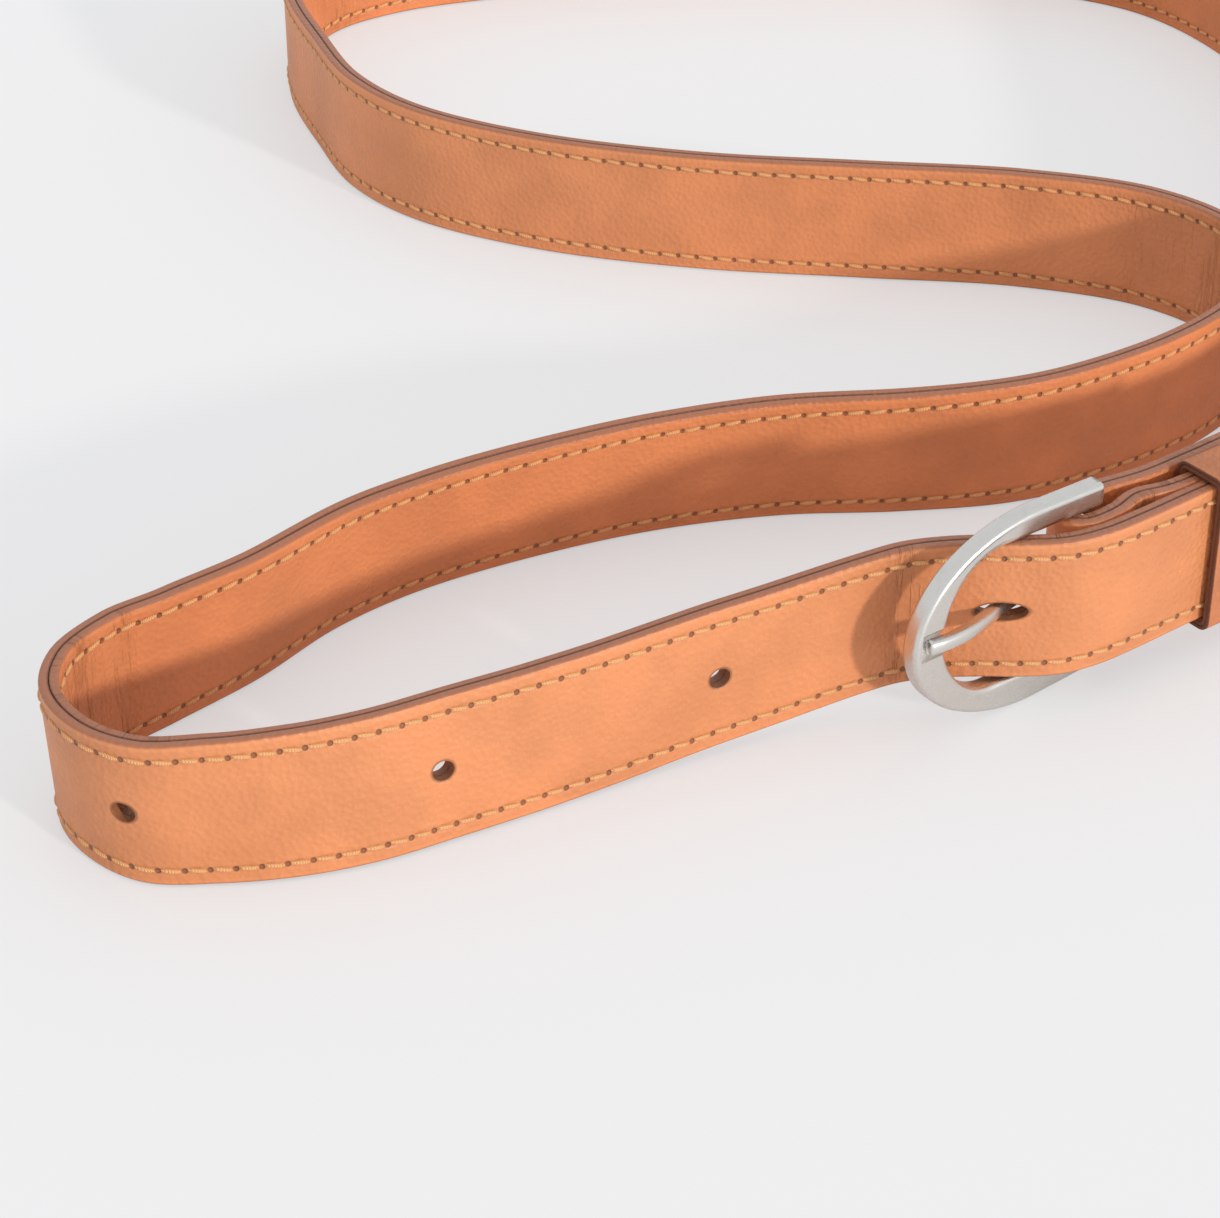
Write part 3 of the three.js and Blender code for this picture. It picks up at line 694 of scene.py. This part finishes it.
def lay_on_route(piece):
    """Keeps the flat coordinates for the leather's pattern, then bends the piece."""
    flat = coordinates(piece)
    along, height, side = flat[:, 0], flat[:, 1], flat[:, 2]
    low, high = outline_height(along)
    s = along + STRAP_START
    heading = np.interp(s - 2, SAMPLES["s"], SAMPLES["heading"])
    ahead = np.interp(s + 2, SAMPLES["s"], SAMPLES["heading"])
    squeeze = (ahead - heading) / 4 * np.sign(side)
    note(piece, "lay", flat)
    note(piece, "rim", np.minimum(height - low, high - height), "FLOAT")
    note(piece, "bend", squeeze, "FLOAT")
    reshape(piece, on_strap(s, side, height))


def punches():
    """One upright punch per hole, drawn out at the hole in use, and one for the fold's slot."""
    made = []
    for hole in HOLES:
        length = USED_HOLE_LENGTH if hole == USED_HOLE else HOLE_LENGTH
        deselect_all()
        bpy.ops.mesh.primitive_cylinder_add(
            vertices=32, radius=HOLE_HEIGHT / 2, depth=8,
            location=(hole - STRAP_START, MIDDLE, 0), scale=(length / HOLE_HEIGHT, 1, 1))
        made.append(settle(just_added("punch")))
    deselect_all()
    middle = FOLD_START - STRAP_START + math.pi * FOLD_RADIUS / 2
    bpy.ops.mesh.primitive_cylinder_add(
        vertices=48, radius=FOLD_SLOT_HEIGHT / 2, depth=8, location=(0, 0, 0))
    slot = settle(just_added("punch"))
    points = coordinates(slot)
    half = FOLD_SLOT_REACH + math.pi * FOLD_RADIUS / 2 - FOLD_SLOT_HEIGHT / 2
    points[:, 0] += np.sign(points[:, 0]) * half + middle
    points[:, 1] += MIDDLE
    reshape(slot, points)
    made.append(slot)
    return made


def ply(name, bond_side, face_side):
    """One leather ply: cut flat, thickened, its edges rounded, punched, then bent."""
    columns, rows = 1150, 14
    deselect_all()
    bpy.ops.mesh.primitive_grid_add(x_subdivisions=columns, y_subdivisions=rows, size=2)
    piece = just_added(name)
    grid = coordinates(piece)
    stations = station_spread(columns + 1)
    along = stations[np.rint((grid[:, 0] + 1) / 2 * columns).astype(int)]
    low, high = outline_height(along)
    height = low + (grid[:, 1] + 1) / 2 * (high - low)
    reshape(piece, np.stack([along, height, np.zeros_like(along)], axis=1))
    thickness = abs(face_side - bond_side)
    finish_with(piece, "SOLIDIFY", thickness=thickness, offset=1.0)
    points = coordinates(piece)
    points[:, 2] += min(face_side, bond_side)
    reshape(piece, points)

    mesh = piece.data
    ends = np.empty(len(mesh.edges) * 2, int)
    mesh.edges.foreach_get("vertices", ends)
    ends = ends.reshape(-1, 2)
    low, high = outline_height(points[:, 0])
    on_rim = (points[:, 1] < low + 1e-3) | (points[:, 1] > high - 1e-3)
    on_rim |= (points[:, 0] < 1e-3) | (points[:, 0] > STRAP_LENGTH - 1e-3)
    level = np.abs(points[ends[:, 0], 2] - points[ends[:, 1], 2]) < 1e-4
    rim_edge = on_rim[ends].all(axis=1) & level
    outer = np.abs(points[ends[:, 0], 2] - face_side) < 1e-3
    weight = np.where(rim_edge, np.where(outer, 1.0, 0.45), 0.0)
    attribute = mesh.attributes.new("bevel_weight_edge", "FLOAT", "EDGE")
    attribute.data.foreach_set("value", weight.astype(np.float32))
    finish_with(piece, "BEVEL", width=EDGE_ROUND, segments=3, limit_method="WEIGHT",
                use_clamp_overlap=False)
    cut_away(piece, punches())
    lay_on_route(piece)
    close_and_face_out(piece, 1e-6)
    smooth(piece, 42)
    return piece


# ---- Stitches ---------------------------------------------------------------------
def one_stitch():
    """A plump stitch with tucked ends: x along, y across, z out of the leather."""
    deselect_all()
    bpy.ops.mesh.primitive_uv_sphere_add(segments=8, ring_count=7, radius=1)
    piece = settle(just_added("stitch"))
    ball = coordinates(piece)
    t = ball[:, 2]
    across = np.maximum(np.hypot(ball[:, 0], ball[:, 1]), 1e-6)
    fat = np.sqrt(np.clip(1 - np.abs(t) ** 3.2, 0, 1)) / across
    fat[np.abs(t) > 0.999] = 0
    x = np.sign(t) * np.abs(t) ** 0.85 * STITCH_HALF_LENGTH
    y = ball[:, 0] * fat * STITCH_HALF_WIDTH
    z = ball[:, 1] * fat * STITCH_HALF_DEPTH - STITCH_TUCK * np.abs(t) ** 3
    reshape(piece, np.stack([x, y, z], axis=1))
    return piece


def stitch_row(name, places, seed):
    """Copies the one stitch to each place: (distance, height, side, outward, upright)."""
    stitch = one_stitch()
    shape = coordinates(stitch)
    faces = [tuple(face.vertices) for face in stitch.data.polygons]
    bpy.data.objects.remove(stitch)
    chance = random.Random(seed)
    points, lay, polygons = [], [], []
    for index, (s, height, side, outward, upright) in enumerate(places):
        slant = math.radians(chance.uniform(5.0, 10.0)) + (math.pi / 2 if upright else 0.0)
        stretch = chance.uniform(0.96, 1.03)
        x, y, z = shape[:, 0] * stretch, shape[:, 1], shape[:, 2]
        ds = x * math.cos(slant) - y * math.sin(slant)
        dh = x * math.sin(slant) + y * math.cos(slant)
        points.append(on_strap(s + ds, side + z * outward, height + dh))
        lay.append(np.stack([x + index * 7.3, y, z], axis=1))
        offset = index * len(shape)
        polygons += [tuple(v + offset for v in face) for face in faces]
    mesh = bpy.data.meshes.new(name)
    mesh.from_pydata(np.concatenate(points).tolist(), [], polygons)
    piece = bpy.data.objects.new(name, mesh)
    bpy.context.scene.collection.objects.link(piece)
    note(piece, "lay", np.concatenate(lay))
    edit_all(piece, (bpy.ops.mesh.normals_make_consistent, {"inside": False}))
    smooth(piece, 80)
    return piece


def row_places(row, height, outward):
    """The places of one edge row's stitches, for stitch_row."""
    count = int((row[1] - row[0]) / STITCH_PITCH)
    side = outward * (STRAP / 2 + STITCH_PROUD)
    return [(row[0] + (k + 0.5) * STITCH_PITCH, height, side, outward, False)
            for k in range(count)]


# ---- The buckle ---------------------------------------------------------------------
def bow_outline(count):
    """Outer and inner line of the frame in reach and height, from arm end to arm end."""
    angles = np.linspace(-math.pi / 2, math.pi / 2, count)
    swell = 0.3 * np.exp(-((np.degrees(angles) + 45) / 25) ** 2)
    window_top = FRAME_HEIGHT - ARM - 0.1
    window_half = (window_top - ARM) / 2
    half = FRAME_TOP / 2

    def line(start, bend, depth, middle, tall, end):
        share = np.linspace(0, 1, 24)[:-1, None]
        curve = np.stack([bend + depth * np.cos(angles), middle + tall * np.sin(angles)], axis=1)
        low = np.array([-ARM_TAIL, start]) * (1 - share) + curve[0] * share
        high = np.array([-ARM_TAIL, end]) * (1 - share) + curve[-1] * share
        return np.concatenate([low, curve, high[::-1]])

    outer = line(0.8, OUTER_BEND, FRAME_REACH - OUTER_BEND, half, half, FRAME_TOP - 0.2)
    inner = line(ARM, INNER_BEND, WINDOW_REACH - INNER_BEND - swell,
                 ARM + window_half, window_half - swell, window_top)
    return outer, inner


def buckle_frame_piece():
    """The cast frame: a flat band bent to its outline, thickened, rounded and notched."""
    outer, inner = bow_outline(97)
    columns, rows = len(outer) - 1, 4
    deselect_all()
    bpy.ops.mesh.primitive_grid_add(x_subdivisions=columns, y_subdivisions=rows, size=2)
    piece = just_added("buckle_frame_cast")
    grid = coordinates(piece)
    index = np.rint((grid[:, 0] + 1) / 2 * columns).astype(int)
    share = ((grid[:, 1] + 1) / 2)[:, None]
    flat = inner[index] * share + outer[index] * (1 - share)
    reshape(piece, np.column_stack([flat, np.zeros(len(flat))]))
    finish_with(piece, "SOLIDIFY", thickness=FRAME_THICK, offset=0.0)
    close_and_face_out(piece)
    points = coordinates(piece)
    points[:, 2] += FRAME_FRONT - FRAME_THICK / 2
    reshape(piece, points)
    finish_with(piece, "BEVEL", width=0.85, segments=5, limit_method="ANGLE",
                angle_limit=math.radians(50), use_clamp_overlap=False, profile=0.55)
    radius = ((NOTCH_HEIGHT / 2) ** 2 + NOTCH_DEPTH ** 2) / (2 * NOTCH_DEPTH)
    deselect_all()
    bpy.ops.mesh.primitive_cylinder_add(
        vertices=48, radius=radius, depth=NOTCH_LENGTH, rotation=(0, math.pi / 2, 0),
        location=(FRAME_REACH - NOTCH_MARGIN - NOTCH_LENGTH / 2, MID_HEIGHT,
                  FRAME_FRONT - NOTCH_DEPTH + radius))
    notch = settle(just_added("notch"))
    deselect_all()
    bpy.ops.mesh.primitive_cylinder_add(
        vertices=32, radius=BAR_RADIUS + 0.05, depth=FRAME_HEIGHT - 2 * (ARM - 1.6 - 0.05),
        rotation=(math.pi / 2, 0, 0), location=(0, MID_HEIGHT, 0))
    socket = settle(just_added("socket"))
    cut_away(piece, [notch, socket])
    reshape(piece, stand_at_buckle(coordinates(piece)))
    close_and_face_out(piece, 1e-7)
    smooth(piece, 35)
    return piece


PRONG_LINE = [
    (1.4, 0), (8, -0.5), (12.5, -0.4), (17.5, 1.1), (22.5, 2.4), (27, 2.5), (29.4, 2.1),
]


def prong_piece():
    """The prong: a closed blade drawn from a sphere, joined to a loop round the bar."""
    knots = np.array(PRONG_LINE, float)
    steps = np.concatenate([[0], np.cumsum(np.hypot(*np.diff(knots, axis=0).T))])
    fine = np.linspace(0, steps[-1], 200)
    line = np.stack([np.interp(fine, steps, knots[:, k]) for k in (0, 1)], axis=1)
    for _ in range(300):
        line[1:-1] = (line[:-2] + 2 * line[1:-1] + line[2:]) / 4
    deselect_all()
    bpy.ops.mesh.primitive_uv_sphere_add(segments=24, ring_count=90, radius=1)
    blade = settle(just_added("prong_forged"))
    ball = coordinates(blade)
    ring = np.arccos(np.clip(ball[:, 2], -1, 1)) / math.pi
    around = np.arctan2(ball[:, 1], ball[:, 0])
    reach = np.interp(ring, np.linspace(0, 1, 200), line[:, 0])
    front = np.interp(ring, np.linspace(0, 1, 200), line[:, 1])
    slope = np.interp(ring, np.linspace(0, 1, 200), np.gradient(line[:, 1], line[:, 0]))
    half_height = np.interp(
        reach, [1.4, 6, 10, 16, 22, 29.4], [1.1, 0.98, 0.98, 1.12, 1.15, 1.12])
    half_front = np.interp(reach, [1.4, 6, 22, 27, 29.4], [1.0, 0.95, 1.0, 0.95, 0.8])
    from_end = np.minimum(ring, 1 - ring)
    full = np.sqrt(np.clip(1 - (1 - np.clip(from_end / 0.022, 0, 1)) ** 2, 0, 1))

    def squared(value):
        return np.sign(value) * np.abs(value) ** 0.72

    across = squared(np.cos(around)) * half_front * full
    up = squared(np.sin(around)) * half_height * full
    reshape(blade, np.stack([reach - across * slope, MID_HEIGHT + up, front + across], axis=1))
    close_and_face_out(blade)
    deselect_all()
    bpy.ops.mesh.primitive_torus_add(
        major_segments=48, minor_segments=16,
        major_radius=PRONG_LOOP_RADIUS, minor_radius=PRONG_LOOP_HALF)
    loop = settle(just_added("prong_loop"))
    ring_points = coordinates(loop)
    radius = np.hypot(ring_points[:, 0], ring_points[:, 1])
    turn = np.arctan2(ring_points[:, 1], ring_points[:, 0])
    from_middle = squared((radius - PRONG_LOOP_RADIUS) / PRONG_LOOP_HALF)
    wide = from_middle * 0.49 + PRONG_LOOP_RADIUS
    tall = squared(ring_points[:, 2] / PRONG_LOOP_HALF) * PRONG_LOOP_HEIGHT / 2
    reshape(loop, np.stack([wide * np.cos(turn), MID_HEIGHT + tall, wide * np.sin(turn)], axis=1))
    close_and_face_out(loop)
    finish_with(blade, "BOOLEAN", operation="UNION", object=loop, solver="EXACT")
    bpy.data.objects.remove(loop)
    reshape(blade, stand_at_buckle(coordinates(blade)))
    close_and_face_out(blade, 1e-7)
    smooth(blade, 40)
    return blade


# ---- The keeper ---------------------------------------------------------------------
def rounded_path(grow, radius, count):
    """Points and distances round the keeper's opening, grown outwards."""
    x0, x1 = KEEPER_REAR - grow, KEEPER_FRONT + grow
    y0, y1 = KEEPER_LOW - grow, KEEPER_HIGH + grow
    corners = [(x1 - radius, y0 + radius, -90), (x1 - radius, y1 - radius, 0),
               (x0 + radius, y1 - radius, 90), (x0 + radius, y0 + radius, 180)]
    ring = []
    for cx, cy, begin in corners:
        for step in range(KEEPER_CORNER_STEPS + 1):
            angle = math.radians(begin + step * 90 / KEEPER_CORNER_STEPS)
            ring.append((cx + radius * math.cos(angle), cy + radius * math.sin(angle)))
    ring.append(ring[0])
    ring = np.array(ring)
    travelled = np.concatenate([[0], np.cumsum(np.hypot(*np.diff(ring, axis=0).T))])
    even = np.linspace(0, travelled[-1], count)
    marks = np.unique(np.concatenate([travelled, even]))
    return np.stack([np.interp(marks, travelled, ring[:, k]) for k in (0, 1)], axis=1), marks


def keeper_ply(name, low, high, layer):
    """One ply of the keeper: a band closed round the straps and thickened."""
    path, marks = rounded_path(low, KEEPER_CORNER + low, 60)
    columns, rows = len(path) - 1, 8
    deselect_all()
    bpy.ops.mesh.primitive_grid_add(x_subdivisions=columns, y_subdivisions=rows, size=2)
    piece = just_added(name)
    grid = coordinates(piece)
    index = np.rint((grid[:, 0] + 1) / 2 * columns).astype(int)
    across = (grid[:, 1] + 1) / 2 * KEEPER_WIDTH
    reach = -KEEPER_START - KEEPER_WIDTH + across
    reshape(piece, np.stack([reach, path[index, 1], path[index, 0]], axis=1))
    note(piece, "lay", np.stack([marks[index], across, np.full_like(across, layer)], axis=1))
    close_and_face_out(piece, 1e-5)
    finish_with(piece, "SOLIDIFY", thickness=high - low, offset=1.0)
    finish_with(piece, "BEVEL", width=0.2, segments=3, limit_method="ANGLE",
                angle_limit=math.radians(50), use_clamp_overlap=False)
    return piece


def keeper_piece():
    """Both plies of the keeper, standing at the buckle."""
    inner = keeper_ply("keeper_inner", 0.0, KEEPER_PLY * 0.48, 0.0)
    outer = keeper_ply("keeper_outer", KEEPER_PLY * 0.5, KEEPER_PLY, 1.0)
    piece = join([outer, inner], "keeper_leather")
    reshape(piece, stand_at_buckle(coordinates(piece)))
    edit_all(piece, (bpy.ops.mesh.normals_make_consistent, {"inside": False}))
    smooth(piece, 40)
    return piece


# ---- Settings -------------------------------------------------------------------------
class BeltLeatherSettings(bpy.types.PropertyGroup):
    face_colour: FloatVectorProperty(
        name="Face colour", description="Colour of the face ply", subtype="COLOR",
        default=(0.66, 0.245, 0.098), min=0.0, max=1.0)
    lining_colour: FloatVectorProperty(
        name="Lining colour", description="Colour of the lining ply", subtype="COLOR",
        default=(0.67, 0.228, 0.084), min=0.0, max=1.0)
    keeper_colour: FloatVectorProperty(
        name="Keeper colour", description="Colour of the keeper", subtype="COLOR",
        default=(0.54, 0.185, 0.072), min=0.0, max=1.0)
    edge_colour: FloatVectorProperty(
        name="Edge colour", description="Colour of the burnished edges", subtype="COLOR",
        default=(0.36, 0.135, 0.070), min=0.0, max=1.0)
    bond_colour: FloatVectorProperty(
        name="Bond line colour", description="Colour of the glue line between the plies",
        subtype="COLOR", default=(0.09, 0.030, 0.016), min=0.0, max=1.0)
    thread_colour: FloatVectorProperty(
        name="Thread colour", description="Colour of the waxed thread", subtype="COLOR",
        default=(0.80, 0.40, 0.165), min=0.0, max=1.0)
    grain_scale: FloatProperty(
        name="Grain", description="Grain cells per millimetre", default=1.15, min=0.3, max=4.0)
    grain_depth: FloatProperty(
        name="Grain depth", description="Depth of the grain in millimetres",
        default=0.16, min=0.0, max=0.5)
    crease_depth: FloatProperty(
        name="Crease depth", description="Depth of the bending creases in millimetres",
        default=0.32, min=0.0, max=0.6)
    roughness: FloatProperty(
        name="Roughness", description="How matt the leather is", default=0.47,
        min=0.1, max=1.0, subtype="FACTOR")


class BeltMetalSettings(bpy.types.PropertyGroup):
    metal_colour: FloatVectorProperty(
        name="Metal colour", description="Colour of the plated buckle", subtype="COLOR",
        default=(0.70, 0.685, 0.655), min=0.0, max=1.0)
    metal_roughness: FloatProperty(
        name="Metal roughness", description="How satin the plating is", default=0.3,
        min=0.05, max=1.0, subtype="FACTOR")


class BeltStageSettings(bpy.types.PropertyGroup):
    floor_colour: FloatVectorProperty(
        name="Floor colour", description="Colour of the table top", subtype="COLOR",
        default=(0.86, 0.865, 0.87), min=0.0, max=1.0)
    key_strength: FloatProperty(
        name="Key strength", description="Strength of the low key light", default=1.9,
        min=0.0, max=20.0)
    sky_strength: FloatProperty(
        name="Fill strength", description="Strength of the light from all round",
        default=0.85, min=0.0, max=5.0)
    lens: FloatProperty(
        name="Focal length", description="Focal length of the camera in millimetres",
        default=94.0, min=20.0, max=300.0)


# ---- Operators --------------------------------------------------------------------------
class BELT_OT_strap(bpy.types.Operator):
    """Model the strap's two leather plies"""
    bl_idname = "belt.strap"
    bl_label = "Strap plies"

    def execute(self, context):
        settings = context.scene.belt_leather
        face = ply("strap_face_leather", BOND_HALF, STRAP / 2)
        face.data.materials.append(strap_leather(
            "face_leather", settings.face_colour, settings, FACE_ROW))
        put_on(face, "strap", "strap_face_ply", "strap_face_ply")
        lining = ply("strap_lining_leather", -BOND_HALF, -STRAP / 2)
        lining.data.materials.append(strap_leather(
            "lining_leather", settings.lining_colour, settings, LINING_ROW))
        put_on(lining, "strap", "strap_lining_ply", "strap_lining_ply")
        return {"FINISHED"}


class BELT_OT_stitches(bpy.types.Operator):
    """Sew the four edge rows and the seam that closes the fold"""
    bl_idname = "belt.stitches"
    bl_label = "Stitches"

    def execute(self, context):
        thread = waxed_thread("waxed_thread", context.scene.belt_leather.thread_colour)
        seam = STRAP_END - TURN_BACK + TURN_BACK_SEAM
        side = STRAP / 2 + STITCH_PROUD
        heights = np.arange(LOWER_ROW + 1.6, UPPER_ROW - 1.0, STITCH_PITCH)
        rows = [
            ("needle_stitches_upper", "needle_thread_upper", row_places(FACE_ROW, UPPER_ROW, 1)),
            ("needle_stitches_lower", "needle_thread_lower", row_places(FACE_ROW, LOWER_ROW, 1)),
            ("bobbin_stitches_upper", "bobbin_thread_upper", row_places(LINING_ROW, UPPER_ROW, -1)),
            ("bobbin_stitches_lower", "bobbin_thread_lower", row_places(LINING_ROW, LOWER_ROW, -1)),
            ("turn_back_stitches", "turn_back_thread",
             [(seam, height, side, 1, True) for height in heights]),
        ]
        for seed, (name, node, places) in enumerate(rows):
            piece = stitch_row(name, places, seed + 3)
            piece.data.materials.append(thread)
            put_on(piece, "strap", node, node)
        return {"FINISHED"}


class BELT_OT_buckle(bpy.types.Operator):
    """Model the buckle's frame and prong, and finish its bar and the keeper's staple"""
    bl_idname = "belt.buckle"
    bl_label = "Buckle"

    def execute(self, context):
        settings = context.scene.belt_metal
        metal = satin_metal("satin_plating", settings.metal_colour, settings.metal_roughness)
        frame_piece = buckle_frame_piece()
        frame_piece.data.materials.append(metal)
        put_on(frame_piece, "buckle", "buckle_frame", "buckle_frame")
        prong = prong_piece()
        prong.data.materials.append(metal)
        put_on(prong, "tongue", "prong", "prong")
        steel = satin_metal("bright_steel", (0.60, 0.60, 0.60), 0.25)
        for name in ("buckle_bar", "keeper_staple"):
            frame["nodes"][name].data.materials.clear()
            frame["nodes"][name].data.materials.append(steel)
        return {"FINISHED"}


class BELT_OT_keeper(bpy.types.Operator):
    """Model the leather keeper that holds the strap's end"""
    bl_idname = "belt.keeper"
    bl_label = "Keeper"

    def execute(self, context):
        settings = context.scene.belt_leather
        piece = keeper_piece()
        piece.data.materials.append(keeper_leather(
            "keeper_leather", settings.keeper_colour, settings))
        put_on(piece, "keeper", "keeper_band", "keeper_band")
        return {"FINISHED"}


class BELT_OT_stage(bpy.types.Operator):
    """Set the table top, the lights and the camera"""
    bl_idname = "belt.stage"
    bl_label = "Stage"

    def execute(self, context):
        settings = context.scene.belt_stage
        scene = context.scene
        deselect_all()
        bpy.ops.mesh.primitive_plane_add(size=8.0, location=(0, 0, -0.0002))
        floor = settle(just_added("table_top"))
        floor.data.materials.append(table_top("table_top", settings.floor_colour))

        key = bpy.data.lights.new("key", "SUN")
        key.energy = settings.key_strength
        key.angle = math.radians(KEY_WIDTH)
        key.color = KEY_COLOUR
        lamp = bpy.data.objects.new("key", key)
        travel = Vector((*KEY_TRAVEL, -math.tan(math.radians(KEY_ELEVATION))))
        lamp.rotation_euler = travel.to_track_quat("-Z", "Y").to_euler()
        scene.collection.objects.link(lamp)

        world = bpy.data.worlds.new("studio")
        world.use_nodes = True
        tree = world.node_tree
        tree.nodes.clear()
        background = tree.nodes.new("ShaderNodeBackground")
        background.inputs["Color"].default_value = SKY_COLOUR
        background.inputs["Strength"].default_value = settings.sky_strength
        out = tree.nodes.new("ShaderNodeOutputWorld")
        tree.links.new(background.outputs[0], out.inputs["Surface"])
        scene.world = world

        lens = bpy.data.cameras.new("camera")
        lens.lens = settings.lens
        lens.sensor_width = 36.0
        lens.clip_start = 0.01
        camera = bpy.data.objects.new("camera", lens)
        camera.location = world_point(CAMERA_PLACE)
        camera.rotation_euler = (math.radians(CAMERA_PITCH), 0.0, 0.0)
        scene.collection.objects.link(camera)
        scene.camera = camera
        scene.view_settings.view_transform = "Standard"
        return {"FINISHED"}


class BELT_PT_panel(bpy.types.Panel):
    """The belt's settings and steps"""
    bl_idname = "BELT_PT_panel"
    bl_label = "Belt"
    bl_space_type = "VIEW_3D"
    bl_region_type = "UI"
    bl_category = "Belt"

    def draw(self, context):
        for group in ("belt_leather", "belt_metal", "belt_stage"):
            settings = getattr(context.scene, group)
            box = self.layout.box()
            for name in settings.__annotations__:
                box.prop(settings, name)
        for operator in OPERATORS:
            self.layout.operator(operator.bl_idname)


OPERATORS = (BELT_OT_stage, BELT_OT_strap, BELT_OT_stitches, BELT_OT_buckle, BELT_OT_keeper)
GROUPS = (BeltLeatherSettings, BeltMetalSettings, BeltStageSettings)


def register():
    for cls in (*GROUPS, *OPERATORS, BELT_PT_panel):
        bpy.utils.register_class(cls)
    bpy.types.Scene.belt_leather = PointerProperty(type=BeltLeatherSettings)
    bpy.types.Scene.belt_metal = PointerProperty(type=BeltMetalSettings)
    bpy.types.Scene.belt_stage = PointerProperty(type=BeltStageSettings)


def unregister():
    del bpy.types.Scene.belt_stage
    del bpy.types.Scene.belt_metal
    del bpy.types.Scene.belt_leather
    for cls in (BELT_PT_panel, *reversed(OPERATORS), *reversed(GROUPS)):
        bpy.utils.unregister_class(cls)


def main():
    register()
    bpy.ops.belt.stage()
    bpy.ops.belt.strap()
    bpy.ops.belt.stitches()
    bpy.ops.belt.buckle()
    bpy.ops.belt.keeper()


if __name__ == "__main__":
    main()
